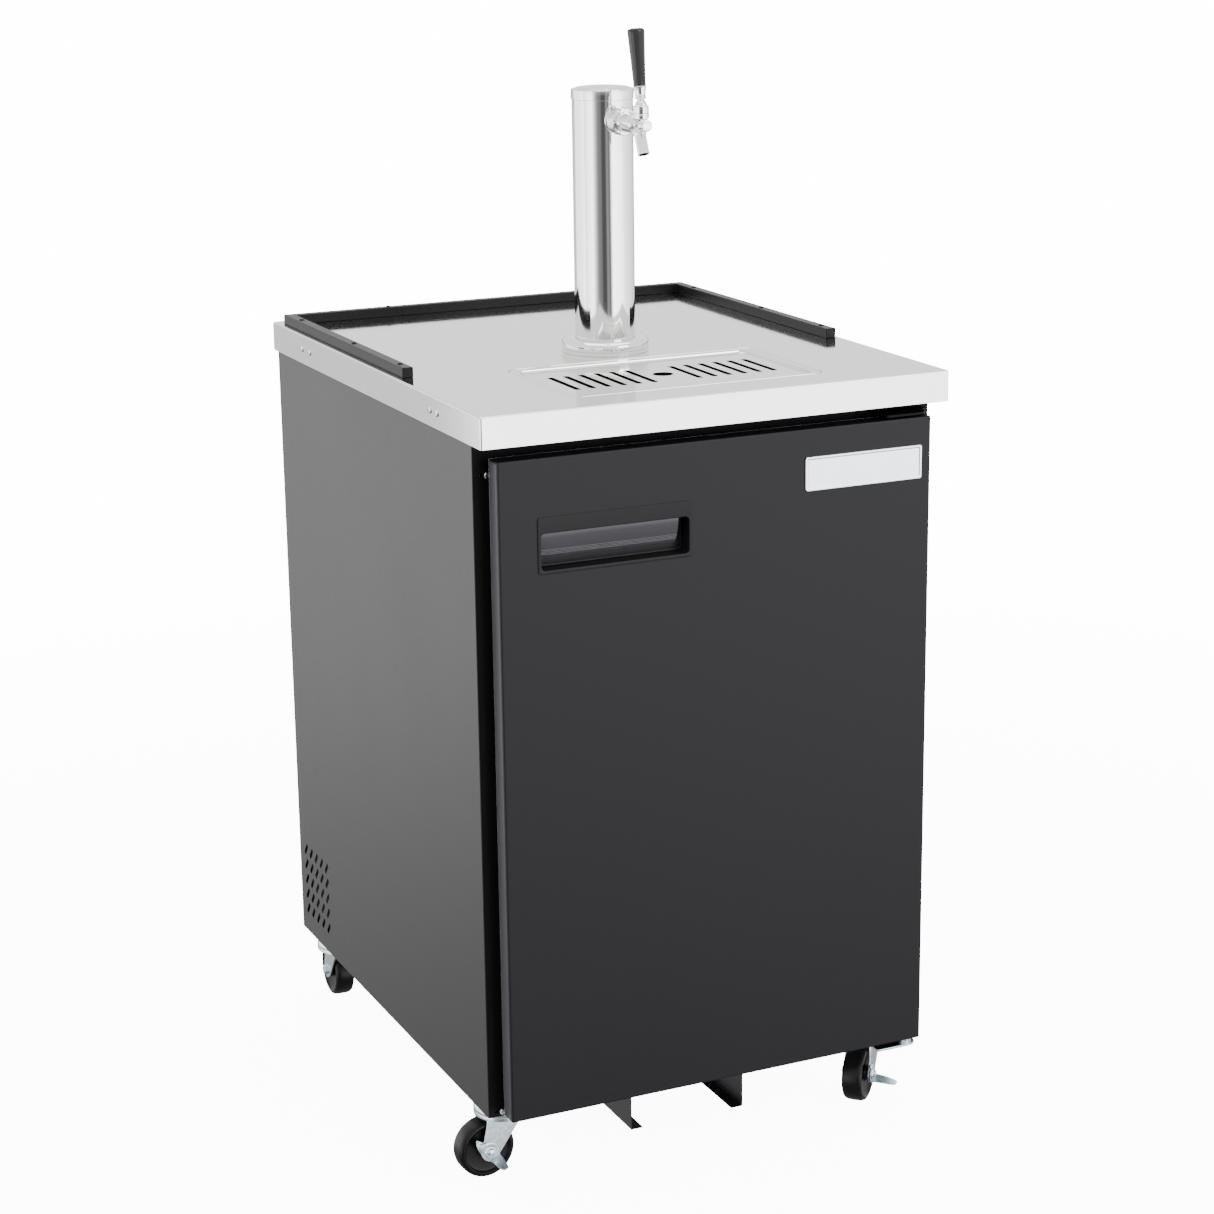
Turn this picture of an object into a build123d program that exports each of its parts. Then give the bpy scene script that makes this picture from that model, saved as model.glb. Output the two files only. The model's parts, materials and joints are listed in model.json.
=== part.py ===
from build123d import *
import math
import os

# A single-tap kegerator: a forced-air draught beer cabinet with a draught tower.
# Frame: millimetres, +Z up, +X to the right of someone facing the door, the door faces -Y.
# The origin is on the floor under the middle of the worktop.

os.makedirs("parts", exist_ok=True)

# ---------------------------------------------------------------- driving dimensions
WORKTOP_HEIGHT = 976.0
WORKTOP_WIDTH = 610.0
WORKTOP_DEPTH = 743.0
APRON = 38.0
TOP_SHEET = 1.2

CABINET_WIDTH = 600.0
CABINET_FRONT = -331.0
CABINET_BACK = 367.5
CABINET_BOTTOM = 103.0
SKIN = 1.2
SIDE_GAP = 0.1
FRAME_THICK = 6.0

OPENING_HALF = 255.0
OPENING_LOW = 160.0
OPENING_HIGH = 885.0
LINER_BACK = 311.0
LINER_SHEET = 1.5
STEP_FRONT = 135.0
STEP_HEIGHT = 360.0
MACHINE_FRONT = 187.0
MACHINE_TOP = 310.0

DOOR_WIDTH = 567.0
DOOR_LOW = 108.6
DOOR_HIGH = 921.4
DOOR_FRONT = -366.7
DOOR_BACK = -341.0
DOOR_SHEET = 1.0
HINGE_X = 268.0
HINGE_Y = -354.0
HINGE_PIN_R = 4.0
RUNNING = 0.05

TOWER_Y = -43.2
COLUMN_R = 38.1
COLUMN_WALL = 1.5
COLUMN_TOP = WORKTOP_HEIGHT + 324.0
FLANGE_R = 55.0
FLANGE_HEIGHT = 18.0
SHANK_Z = WORKTOP_HEIGHT + 290.0
SHANK_R = 11.0
TAP_Y = -155.0
PIVOT_Z = WORKTOP_HEIGHT + 313.0
BALL_R = 7.5
HANDLE_LEAN = 8.2
HANDLE_LENGTH = 68.5

TRAY_Y = -214.0
TRAY_WIDTH = 332.0
TRAY_DEPTH = 198.0
GRILLE_WIDTH = 306.0
GRILLE_DEPTH = 172.0
GRILLE_DROP = 4.0
SLOTS_PER_SIDE = 6
SLOT_FIRST = 30.0
SLOT_PITCH = 20.2
SLOT_LENGTH = 88.0
SLOT_WIDTH = 8.0

RAIL_WIDTH = 14.0
RAIL_HEIGHT = 12.7
RAIL_SIDE = 297.0
RAIL_BACK = 345.7
RAIL_FRONT = -106.7

WHEEL_R = 37.5
WHEEL_WIDTH = 27.0
TRAIL = 26.0
CASTER_X = 258.0
CASTER_FRONT = -270.0
CASTER_BACK = 322.0

# name, pivot x, pivot y, turn of the fork about its kingpin, has a side brake
CASTERS = (
    ("fl", -CASTER_X, CASTER_FRONT, 3.0, True),
    ("fr", CASTER_X, CASTER_FRONT, 44.0, True),
    ("bl", -CASTER_X, CASTER_BACK, -91.5, False),
    ("br", CASTER_X, CASTER_BACK, 180.0, False),
)

WORKTOP_UNDERSIDE = WORKTOP_HEIGHT - TOP_SHEET
CABINET_TOP = WORKTOP_UNDERSIDE - 0.3
HALF_CABINET = CABINET_WIDTH / 2
INSIDE_SKIN = HALF_CABINET - SKIN - SIDE_GAP


# ---------------------------------------------------------------- small helpers
def save(name, shape):
    """Writes one sub-part to its STEP file."""
    export_step(shape, f"parts/{name}.step")


def block(x0, x1, y0, y1, z0, z1):
    """A rectangular solid between two opposite corners."""
    middle = Pos((x0 + x1) / 2, (y0 + y1) / 2, (z0 + z1) / 2)
    return middle * Box(x1 - x0, y1 - y0, z1 - z0)


def rod(start, direction, radius, length):
    """A round bar from a start point along a direction."""
    base = (Align.CENTER, Align.CENTER, Align.MIN)
    return Plane(origin=start, z_dir=direction) * Cylinder(radius, length, align=base)


def ring(start, direction, outer, inner, length):
    """A tube or washer from a start point along a direction."""
    return rod(start, direction, outer, length) - rod(start, direction, inner, length)


def rounded_plate(width, depth, radius, thick, centre):
    """A flat plate with rounded corners, its underside at the centre point given."""
    outline = RectangleRounded(width, depth, radius)
    return Pos(*centre) * extrude(outline, thick)


def turned(points, origin):
    """A turned piece: an outline of radius and height pairs spun about a vertical line."""
    outline = make_face(Polyline(*[(r, 0, z) for r, z in points], close=True))
    return Pos(*origin) * revolve(outline, Axis.Z, 360)


def yz_prism(points, half_width):
    """An outline in the side view, extruded equally to both sides of the middle."""
    outline = make_face(Polyline(*[(-half_width, y, z) for y, z in points], close=True))
    return extrude(outline, 2 * half_width, dir=(1, 0, 0))


def pan_screw(start, direction, head_r=4.5, head_h=2.4, shank_r=2.0, shank=5.0):
    """A pan-head screw: the head stands out along the direction, the shank goes the other way."""
    back = tuple(-c for c in direction)
    return rod(start, direction, head_r, head_h) + rod(start, back, shank_r, shank)


# ---------------------------------------------------------------- worktop group
APRON_SCREW_Z = WORKTOP_HEIGHT - 18.8
APRON_SCREW_Y = (248.5, 218.0, -216.2, -238.7)
SCREW_HOLE_R = 2.1
RAIL_SCREW_Y = (-80.0, 85.0, 290.0)
RAIL_SCREW_X = (-150.0, 150.0)
TOWER_BOLT_CIRCLE = 46.0
TOWER_HOLE_R = 25.0


def rail_screw_places():
    """Screws along the two side bars and the back bar of the guard rail."""
    side = RAIL_SIDE - RAIL_WIDTH / 2
    rear = RAIL_BACK - RAIL_WIDTH / 2
    sides = [(s * side, y) for s in (-1, 1) for y in RAIL_SCREW_Y]
    return sides + [(x, rear) for x in RAIL_SCREW_X]


def tower_bolt_places():
    """Four bolts on a circle round the tower's axis."""
    turns = [math.radians(45 + 90 * i) for i in range(4)]
    r = TOWER_BOLT_CIRCLE
    return [(r * math.cos(t), TOWER_Y + r * math.sin(t)) for t in turns]


def make_worktop():
    half_w, half_d = WORKTOP_WIDTH / 2, WORKTOP_DEPTH / 2
    low = WORKTOP_HEIGHT - APRON
    shell = block(-half_w, half_w, -half_d, half_d, low, WORKTOP_HEIGHT)
    in_w, in_d = half_w - TOP_SHEET, half_d - TOP_SHEET
    shell -= block(-in_w, in_w, -in_d, in_d, low - 1, WORKTOP_UNDERSIDE)
    cut_z = WORKTOP_UNDERSIDE - 1
    shell -= rounded_plate(TRAY_WIDTH + 0.4, TRAY_DEPTH + 0.4, 14, 4, (0, TRAY_Y, cut_z))
    shell -= rod((0, TOWER_Y, cut_z), (0, 0, 1), TOWER_HOLE_R, 4)
    for x, y in tower_bolt_places():
        shell -= rod((x, y, cut_z), (0, 0, 1), 3.1, 4)
    for x, y in rail_screw_places():
        shell -= rod((x, y, cut_z), (0, 0, 1), SCREW_HOLE_R, 4)
    for side in (-1, 1):
        for y in APRON_SCREW_Y:
            shell -= rod((side * (half_w - 3), y, APRON_SCREW_Z), (side, 0, 0), SCREW_HOLE_R, 6)
    return shell


def make_worktop_screws():
    half_w = WORKTOP_WIDTH / 2
    places = [(side, y) for side in (-1, 1) for y in APRON_SCREW_Y]
    return [
        pan_screw((side * half_w, y, APRON_SCREW_Z), (side, 0, 0), 4.0, 2.0, 2.0, 6.0)
        for side, y in places
    ]


def make_guard_rail():
    low, high = WORKTOP_HEIGHT, WORKTOP_HEIGHT + RAIL_HEIGHT
    bars = block(-RAIL_SIDE, RAIL_SIDE, RAIL_FRONT, RAIL_BACK, low, high)
    inner = RAIL_SIDE - RAIL_WIDTH
    bars -= block(-inner, inner, RAIL_FRONT - 1, RAIL_BACK - RAIL_WIDTH, low - 1, high + 1)
    for x, y in rail_screw_places():
        bars -= rod((x, y, low - 1), (0, 0, 1), SCREW_HOLE_R, RAIL_HEIGHT + 2)
    return bars


def make_rail_screws():
    top = WORKTOP_HEIGHT + RAIL_HEIGHT
    return [
        pan_screw((x, y, top), (0, 0, 1), 3.4, 1.4, 2.0, RAIL_HEIGHT + TOP_SHEET)
        for x, y in rail_screw_places()
    ]


PAN_SHEET = 1.0
PAN_DEPTH = 27.0
LEDGE = 6.0
DRAIN_Y = TRAY_Y
DRAIN_R = 8.0


def make_drip_pan():
    z_ledge = WORKTOP_HEIGHT - GRILLE_DROP - TOP_SHEET
    z_top = WORKTOP_HEIGHT - 0.2
    z_floor = WORKTOP_HEIGHT - PAN_DEPTH
    wide_out = Pos(0, TRAY_Y, z_top) * RectangleRounded(TRAY_WIDTH, TRAY_DEPTH, 14)
    low_out = Pos(0, TRAY_Y, z_ledge - PAN_SHEET) * RectangleRounded(
        GRILLE_WIDTH + 2, GRILLE_DEPTH + 2, 9
    )
    wide_in = Pos(0, TRAY_Y, z_top) * RectangleRounded(TRAY_WIDTH - 3, TRAY_DEPTH - 3, 12.5)
    low_in = Pos(0, TRAY_Y, z_ledge) * RectangleRounded(GRILLE_WIDTH, GRILLE_DEPTH, 8)
    step = loft([low_out, wide_out]) - loft([low_in, wide_in])
    tub_w, tub_d = GRILLE_WIDTH - 2 * LEDGE, GRILLE_DEPTH - 2 * LEDGE
    step -= rounded_plate(tub_w, tub_d, 8, 4, (0, TRAY_Y, z_ledge - 2))
    tub = rounded_plate(
        tub_w + 2 * PAN_SHEET, tub_d + 2 * PAN_SHEET, 9, z_ledge - z_floor, (0, TRAY_Y, z_floor)
    )
    tub -= rounded_plate(tub_w, tub_d, 8, PAN_DEPTH, (0, TRAY_Y, z_floor + PAN_SHEET))
    tub -= rod((0, DRAIN_Y, z_floor - 1), (0, 0, 1), DRAIN_R - 2, 4)
    return step + tub


def make_drip_grille():
    z = WORKTOP_HEIGHT - GRILLE_DROP - TOP_SHEET
    plate = rounded_plate(GRILLE_WIDTH - 1, GRILLE_DEPTH - 1, 7.5, TOP_SHEET, (0, TRAY_Y, z))
    for i in range(SLOTS_PER_SIDE):
        x = SLOT_FIRST + SLOT_PITCH * i
        for side in (-1, 1):
            slot = extrude(SlotOverall(SLOT_LENGTH, SLOT_WIDTH, rotation=90), 4)
            plate -= Pos(side * x, TRAY_Y + 4, z - 1) * slot
    return plate - rod((0, TRAY_Y + 4, z - 1), (0, 0, 1), 12.7, 4)


def make_drain_tube():
    top = WORKTOP_HEIGHT - PAN_DEPTH
    low = OPENING_HIGH - 27
    tube = ring((0, DRAIN_Y, low), (0, 0, 1), DRAIN_R, DRAIN_R - 2, top - low)
    return tube + ring((0, DRAIN_Y, top - 1.5), (0, 0, 1), 14, DRAIN_R - 2, 1.5)


# ---------------------------------------------------------------- draught tower
def make_tower_flange():
    z = WORKTOP_HEIGHT
    inner = COLUMN_R + RUNNING
    outline = [
        (inner, z),
        (FLANGE_R, z),
        (FLANGE_R, z + 11),
        (FLANGE_R - 0.8, z + 13.5),
        (FLANGE_R - 3, z + 15.8),
        (FLANGE_R - 6, z + 17.2),
        (FLANGE_R - 10, z + FLANGE_HEIGHT),
        (inner, z + FLANGE_HEIGHT),
    ]
    flange = turned(outline, (0, TOWER_Y, 0))
    for x, y in tower_bolt_places():
        flange -= rod((x, y, z - 1), (0, 0, 1), 3.0, 10)
    return flange


def make_tower_screws():
    bolts = []
    for x, y in tower_bolt_places():
        shank = rod((x, y, WORKTOP_UNDERSIDE - 8), (0, 0, 1), 2.95, 16)
        washer = rod((x, y, WORKTOP_UNDERSIDE - 2), (0, 0, 1), 7, 1.5)
        nut = Pos(x, y, WORKTOP_UNDERSIDE - 7) * extrude(RegularPolygon(5.6, 6), 5)
        bolts.append(shank + washer + nut)
    return bolts


def make_tower_column():
    height = COLUMN_TOP - WORKTOP_HEIGHT
    base = (0, TOWER_Y, WORKTOP_HEIGHT + 0.2)
    tube = ring(base, (0, 0, 1), COLUMN_R, COLUMN_R - COLUMN_WALL, height)
    return tube - rod((0, TOWER_Y, SHANK_Z), (0, -1, 0), SHANK_R + RUNNING, 60)


def make_tower_cap():
    z = COLUMN_TOP + 0.3
    skirt = COLUMN_R + 0.1
    outer = COLUMN_R + 1.0
    outline = [
        (0, z),
        (skirt, z),
        (skirt, z - 11),
        (outer, z - 11),
        (outer, z + 1.6),
        (outer - 1.2, z + 2.6),
        (outer * 0.6, z + 4.2),
        (0, z + 5.4),
    ]
    return turned(outline, (0, TOWER_Y, 0))


def make_tower_insulation():
    start = (0, TOWER_Y, WORKTOP_HEIGHT + 0.5)
    return ring(start, (0, 0, 1), COLUMN_R - COLUMN_WALL - 0.4, 12, 262)


def make_beer_shank():
    column_face = TOWER_Y - COLUMN_R
    start = (0, TOWER_Y + 6, SHANK_Z)
    forward = (0, -1, 0)
    shank = rod(start, forward, SHANK_R, TOWER_Y + 6 + 101)
    collar = rod((0, column_face - 0.3, SHANK_Z), forward, 13, 9)
    tail = rod((0, TOWER_Y, SHANK_Z), (0, 0, -1), 4, 32)
    barb = rod((0, TOWER_Y, SHANK_Z - 30), (0, 0, 1), 4.6, 3)
    bore = rod((0, TOWER_Y - 2, SHANK_Z), forward, 3.2, 80)
    return shank + collar + tail + barb - bore - rod((0, TOWER_Y, SHANK_Z), (0, 0, -1), 2.4, 40)


def make_coupling_nut():
    forward = (0, -1, 0)
    nut = rod((0, -92.5, SHANK_Z), forward, 17, 17.5)
    nut -= rod((0, -92, SHANK_Z), forward, SHANK_R + RUNNING, 9.2)
    nut -= rod((0, -101, SHANK_Z), forward, 13.6, 6.2)
    nut -= rod((0, -101, SHANK_Z), forward, 12.7, 12)
    for turn in range(0, 360, 60):
        a = math.radians(turn)
        nut -= rod((18 * math.cos(a), -98, SHANK_Z + 18 * math.sin(a)), forward, 2.5, 20)
    return nut


BARREL_R = 12.5
BORE_R = 9.5
SPOUT_LEAN = 24.0
SPOUT_R = 7.2
NOSE_R = 7.2
NOSE_FRONT = 12.0
LEVER_HOLE_R = 8.2
HANDLE_STUD_R = 4.5
STUD_GAP = 0.05


def spout_direction():
    lean = math.radians(SPOUT_LEAN)
    return (0, -math.sin(lean), -math.cos(lean))


def make_faucet_body():
    forward = (0, -1, 0)
    body = rod((0, -101.6, SHANK_Z), forward, BARREL_R, 58.4)
    body += rod((0, -101.6, SHANK_Z), forward, 13.5, 5.2)
    body += Pos(0, -163.5, SHANK_Z) * Sphere(8.2)
    body += rod((0, -163.5, SHANK_Z), forward, NOSE_R, NOSE_FRONT)
    body += rod((0, TAP_Y, SHANK_Z - 3), (0, 0, 1), 9.5, PIVOT_Z - SHANK_Z - 6)
    body += rod((0, -146, SHANK_Z), spout_direction(), SPOUT_R, 38)
    body -= rod((0, -101, SHANK_Z), forward, BORE_R, 20.2)
    body -= rod((0, -101, SHANK_Z), forward, 6.2, 30)
    body -= rod((0, -124, SHANK_Z), forward, BORE_R, 36)
    body -= rod((0, TAP_Y, SHANK_Z), (0, 0, 1), LEVER_HOLE_R, 40)
    body -= block(-3.2, 3.2, TAP_Y, TAP_Y + 15, SHANK_Z, SHANK_Z + 13)
    body -= rod((0, -146, SHANK_Z), spout_direction(), SPOUT_R - 1.5, 60)
    return body


def make_lever_bonnet():
    low = PIVOT_Z - 8.8
    collar = rod((0, TAP_Y, low), (0, 0, 1), 9.5, 8.8)
    collar -= Pos(0, TAP_Y, PIVOT_Z) * Sphere(BALL_R + RUNNING)
    return collar - rod((0, TAP_Y, low - 1), (0, 0, 1), 7.8, 6)


def handle_direction():
    lean = math.radians(HANDLE_LEAN)
    return (0, math.sin(lean), math.cos(lean))


def along_handle(distance):
    """A point on the handle's leaning centre line, measured from the lever's pivot."""
    _, dy, dz = handle_direction()
    return (0, TAP_Y + dy * distance, PIVOT_Z + dz * distance)


LEVER_TAIL = 22.5


def make_tap_lever():
    lever = Pos(0, TAP_Y, PIVOT_Z) * Sphere(BALL_R)
    lever += rod((0, TAP_Y, PIVOT_Z), (0, 0, -1), 1.9, LEVER_TAIL)
    lever += Pos(0, TAP_Y, PIVOT_Z - LEVER_TAIL) * Sphere(2.5)
    return lever + rod(along_handle(0), handle_direction(), HANDLE_STUD_R, 34)


def make_tap_ferrule():
    start = along_handle(7.6)
    outline = Plane(origin=start, z_dir=handle_direction())
    cone = outline * Cone(7.0, 8.6, 15, align=(Align.CENTER, Align.CENTER, Align.MIN))
    return cone - rod(start, handle_direction(), HANDLE_STUD_R + STUD_GAP, 20)


def make_tap_handle():
    outline = Plane(origin=along_handle(22.8), z_dir=handle_direction())
    base = (Align.CENTER, Align.CENTER, Align.MIN)
    grip = outline * Cone(7.7, 10.6, HANDLE_LENGTH, align=base)
    grip = fillet(grip.edges().sort_by(Axis.Z)[-1], 2.0)
    return grip - rod(along_handle(20), handle_direction(), HANDLE_STUD_R + STUD_GAP, 14.5)


SHAFT_HEAD_R = 4.5


def make_faucet_shaft():
    forward = (0, -1, 0)
    shaft = rod((0, -146, SHANK_Z), forward, SHAFT_HEAD_R, 13.5)
    shaft += rod((0, -118, SHANK_Z), forward, 2.5, 29)
    shaft += rod((0, -117.6, SHANK_Z), forward, 7.5, 3.2)
    return shaft - block(-3, 3, TAP_Y - 3.4, TAP_Y + 3.4, SHANK_Z - 3.5, SHANK_Z + 6)


def make_beer_line():
    low = OPENING_HIGH - 34
    high = SHANK_Z - 11.5
    tube = ring((0, TOWER_Y, low), (0, 0, 1), 6.5, 4.65, high - low)
    nut = Pos(0, TOWER_Y, low - 16) * extrude(RegularPolygon(13, 6), 15.9)
    return [tube, nut - rod((0, TOWER_Y, low - 17), (0, 0, 1), 9, 12)]


# ---------------------------------------------------------------- cabinet shell
LOUVRE_ROWS = 5
LOUVRE_PITCH_Y = 21.7
LOUVRE_PITCH_Z = 22.2
LOUVRE_CENTRE = (296.3, 183.5)
LOUVRE_LEAN = 38.0


def louvre_places():
    """Centres of the slanted slots in a side panel, in y and z."""
    middle = (LOUVRE_ROWS - 1) / 2
    y0, z0 = LOUVRE_CENTRE
    return [
        (y0 + (i - middle) * LOUVRE_PITCH_Y, z0 + (j - middle) * LOUVRE_PITCH_Z)
        for i in range(LOUVRE_ROWS)
        for j in range(LOUVRE_ROWS)
    ]


def make_side_panel(side):
    x0, x1 = sorted((side * HALF_CABINET, side * (HALF_CABINET - SKIN)))
    panel = block(x0, x1, CABINET_FRONT, CABINET_BACK, CABINET_BOTTOM, CABINET_TOP)
    for y, z in louvre_places():
        slot = Plane(origin=(x0 - 1, y, z), x_dir=(0, 1, 0), z_dir=(1, 0, 0)) * SlotOverall(
            20, 6, rotation=90 + LOUVRE_LEAN
        )
        panel -= extrude(slot, SKIN + 2)
    for y in APRON_SCREW_Y:
        panel -= rod((x0 - 1, y, APRON_SCREW_Z), (1, 0, 0), SCREW_HOLE_R, SKIN + 2)
    return panel


def make_back_panel():
    return block(
        -INSIDE_SKIN, INSIDE_SKIN, CABINET_BACK - SKIN, CABINET_BACK, MACHINE_TOP + 12, CABINET_TOP
    )


INLET_X = 210.0
INLET_Z = 150.0


def make_rear_grille():
    low, high = CABINET_BOTTOM + 2, MACHINE_TOP + 11.5
    grille = block(-INSIDE_SKIN, INSIDE_SKIN, CABINET_BACK - SKIN, CABINET_BACK, low, high)
    for row in range(8):
        z = low + 45 + 18 * row
        for column in range(5):
            x = -200 + 80 * column
            slot = Plane(origin=(x, CABINET_BACK - 3, z), x_dir=(1, 0, 0), z_dir=(0, 1, 0))
            if abs(x - INLET_X) > 60 or z > INLET_Z + 30:
                grille -= extrude(slot * SlotOverall(60, 6), 6)
    return grille - rod((INLET_X, CABINET_BACK - 3, INLET_Z), (0, 1, 0), 8.05, 6)


def make_front_frame():
    back = CABINET_FRONT + FRAME_THICK
    low = CABINET_BOTTOM + 0.3
    frame = block(-INSIDE_SKIN, INSIDE_SKIN, CABINET_FRONT, back, low, CABINET_TOP)
    frame -= block(
        -OPENING_HALF, OPENING_HALF, CABINET_FRONT - 1, back + 1, OPENING_LOW, OPENING_HIGH
    )
    for x, z in frame_screw_places():
        frame -= rod((x, CABINET_FRONT - 1, z), (0, 1, 0), SCREW_HOLE_R, FRAME_THICK + 2)
    return frame


def frame_screw_places():
    """Screws in the corners of the cabinet's face, outside the door's edges."""
    return [(side * 289.5, z) for side in (-1, 1) for z in (110.0, 900.0)]


def make_panel_screws():
    return [
        pan_screw((x, CABINET_FRONT, z), (0, -1, 0), 4.0, 2.4, 2.0, FRAME_THICK)
        for x, z in frame_screw_places()
    ]


def liner_outline(inset, front):
    """Side view of the keg space, with the step over the machine compartment."""
    low, high = OPENING_LOW + inset, OPENING_HIGH - inset
    step, back, shelf = STEP_FRONT - inset, LINER_BACK - inset, STEP_HEIGHT + inset
    return [(front, low), (step, low), (step, shelf), (back, shelf), (back, high), (front, high)]


LINER_FRONT = CABINET_FRONT + FRAME_THICK


def make_inner_liner():
    liner = yz_prism(liner_outline(0, LINER_FRONT), OPENING_HALF)
    cavity = liner_outline(LINER_SHEET, LINER_FRONT - 1)
    liner -= yz_prism(cavity, OPENING_HALF - LINER_SHEET)
    liner -= rod((0, TOWER_Y, OPENING_HIGH - 5), (0, 0, 1), 20, 10)
    return liner - rod((0, DRAIN_Y, OPENING_HIGH - 5), (0, 0, 1), DRAIN_R + 0.2, 10)


def make_foam_insulation():
    side, rear = INSIDE_SKIN - 0.1, CABINET_BACK - SKIN - 0.1
    foam = block(-side, side, LINER_FRONT, rear, CABINET_BOTTOM + 2, CABINET_TOP - 0.2)
    foam -= yz_prism(liner_outline(0, LINER_FRONT - 1), OPENING_HALF)
    foam -= block(-side - 1, side + 1, MACHINE_FRONT, rear + 1, CABINET_BOTTOM, MACHINE_TOP)
    tray_half_w, tray_half_d = TRAY_WIDTH / 2 + 1, TRAY_DEPTH / 2 + 1
    z = WORKTOP_HEIGHT
    foam -= block(-tray_half_w, tray_half_w, TRAY_Y - tray_half_d, TRAY_Y + tray_half_d, z - 8, z)
    foam -= block(-150, 150, TRAY_Y - 84, TRAY_Y + 84, z - PAN_DEPTH - 3, z)
    foam -= rod((0, TOWER_Y, OPENING_HIGH - 1), (0, 0, 1), 20, 200)
    foam -= rod((0, TOWER_Y, z - 11), (0, 0, 1), 58, 20)
    return foam - rod((0, DRAIN_Y, OPENING_HIGH - 1), (0, 0, 1), DRAIN_R + 0.2, 200)


def make_base_pan():
    side = INSIDE_SKIN
    low = CABINET_BOTTOM
    pan = block(-side, side, LINER_FRONT, CABINET_BACK - SKIN - 0.1, low, low + 1.5)
    for i in range(6):
        x = -230 + 70 * i
        slot = Pos(x, 345, low - 1) * extrude(SlotOverall(50, 6), 4)
        pan -= slot
    return pan


SKID_X = 80.0
SKID_FRONT = -266.0
SKID_BACK = 180.0
SKID_LOW = 12.2
SKID_FOOT = 17.0


def make_skids():
    skids = []
    for side in (-1, 1):
        web = sorted((side * SKID_X, side * (SKID_X - 1.5)))
        foot = sorted((side * SKID_X, side * (SKID_X - SKID_FOOT)))
        rail = block(*web, SKID_FRONT, SKID_BACK, SKID_LOW, CABINET_BOTTOM)
        rail += block(*foot, SKID_FRONT, SKID_BACK, SKID_LOW, SKID_LOW + 1.5)
        rail += block(*foot, SKID_FRONT, SKID_BACK, CABINET_BOTTOM - 1.5, CABINET_BOTTOM)
        skids.append(rail)
    return skids


# ---------------------------------------------------------------- hinges
def make_hinge_bracket_top():
    plate_low = DOOR_HIGH + 2.6
    plate = block(222, 290, HINGE_Y, CABINET_FRONT, plate_low, plate_low + 3)
    plate += block(222, HINGE_X, -367, HINGE_Y, plate_low, plate_low + 3)
    plate += rod((HINGE_X, HINGE_Y, plate_low), (0, 0, 1), 13, 3)
    plate += block(200, 294, CABINET_FRONT - 2, CABINET_FRONT, plate_low, plate_low + 40)
    for x in (212, 247, 282):
        screw = pan_screw((x, CABINET_FRONT - 2, plate_low + 28), (0, -1, 0), 4.5, 2.4, 2.0, 1.9)
        plate += screw
    return plate + rod((HINGE_X, HINGE_Y, plate_low), (0, 0, -1), HINGE_PIN_R, 20)


def make_hinge_bracket_bottom():
    top = CABINET_BOTTOM
    plate = block(222, 290, HINGE_Y, -308, top - 3, top)
    plate += block(222, HINGE_X, -367, HINGE_Y, top - 3, top)
    plate += rod((HINGE_X, HINGE_Y, top - 3), (0, 0, 1), 13, 3)
    for x in (238, 272):
        plate += rod((x, -318, top - 5.2), (0, 0, 1), 4.5, 2.3)
    plate += rod((HINGE_X, HINGE_Y, top), (0, 0, 1), 9, DOOR_LOW - top - 0.2)
    return plate + rod((HINGE_X, HINGE_Y, top), (0, 0, 1), HINGE_PIN_R, DOOR_LOW - top + 17)


# ---------------------------------------------------------------- door
HANDLE_X = -137.5
HANDLE_Z = 818.2
HANDLE_WIDTH = 197.0
HANDLE_HEIGHT = 67.6
POCKET_WIDTH = 188.0
POCKET_LOW = 789.0
POCKET_HIGH = 832.6
POCKET_BACK = DOOR_BACK - 4.5
BADGE_BOX = (111.0, 270.0, 846.0, 887.5)


def hinge_holes(shape, radius):
    """Cuts the two hinge-pin holes out of a door layer."""
    shape -= rod((HINGE_X, HINGE_Y, DOOR_HIGH - 20), (0, 0, 1), radius, 30)
    return shape - rod((HINGE_X, HINGE_Y, DOOR_LOW + 20), (0, 0, -1), radius, 30)


def make_door_skin():
    half = DOOR_WIDTH / 2
    skin = block(-half, half, DOOR_FRONT, DOOR_BACK - 1.5, DOOR_LOW, DOOR_HIGH)
    inner = half - DOOR_SHEET
    low, high = DOOR_LOW + DOOR_SHEET, DOOR_HIGH - DOOR_SHEET
    skin -= block(-inner, inner, DOOR_FRONT + DOOR_SHEET, DOOR_BACK, low, high)
    cut_x, cut_z = HANDLE_WIDTH / 2 - 3, HANDLE_HEIGHT / 2 - 3
    x0, x1, z0, z1 = HANDLE_X - cut_x, HANDLE_X + cut_x, HANDLE_Z - cut_z, HANDLE_Z + cut_z
    skin -= block(x0, x1, DOOR_FRONT - 1, DOOR_FRONT + 3, z0, z1)
    return hinge_holes(skin, HINGE_PIN_R + RUNNING)


def make_door_liner():
    half = DOOR_WIDTH / 2
    liner = block(-half, half, DOOR_BACK - 1.5, DOOR_BACK, DOOR_LOW, DOOR_HIGH)
    return liner


def make_door_foam():
    half = DOOR_WIDTH / 2 - DOOR_SHEET - 0.1
    low, high = DOOR_LOW + DOOR_SHEET + 0.1, DOOR_HIGH - DOOR_SHEET - 0.1
    foam = block(-half, half, DOOR_FRONT + DOOR_SHEET + 0.1, DOOR_BACK - 1.6, low, high)
    cut_x, cut_z = HANDLE_WIDTH / 2 - 2.8, HANDLE_HEIGHT / 2 - 2.8
    x0, x1, z0, z1 = HANDLE_X - cut_x, HANDLE_X + cut_x, HANDLE_Z - cut_z, HANDLE_Z + cut_z
    foam -= block(x0, x1, DOOR_FRONT, POCKET_BACK + 0.1, z0, z1)
    return hinge_holes(foam, HINGE_PIN_R + 3)


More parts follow.
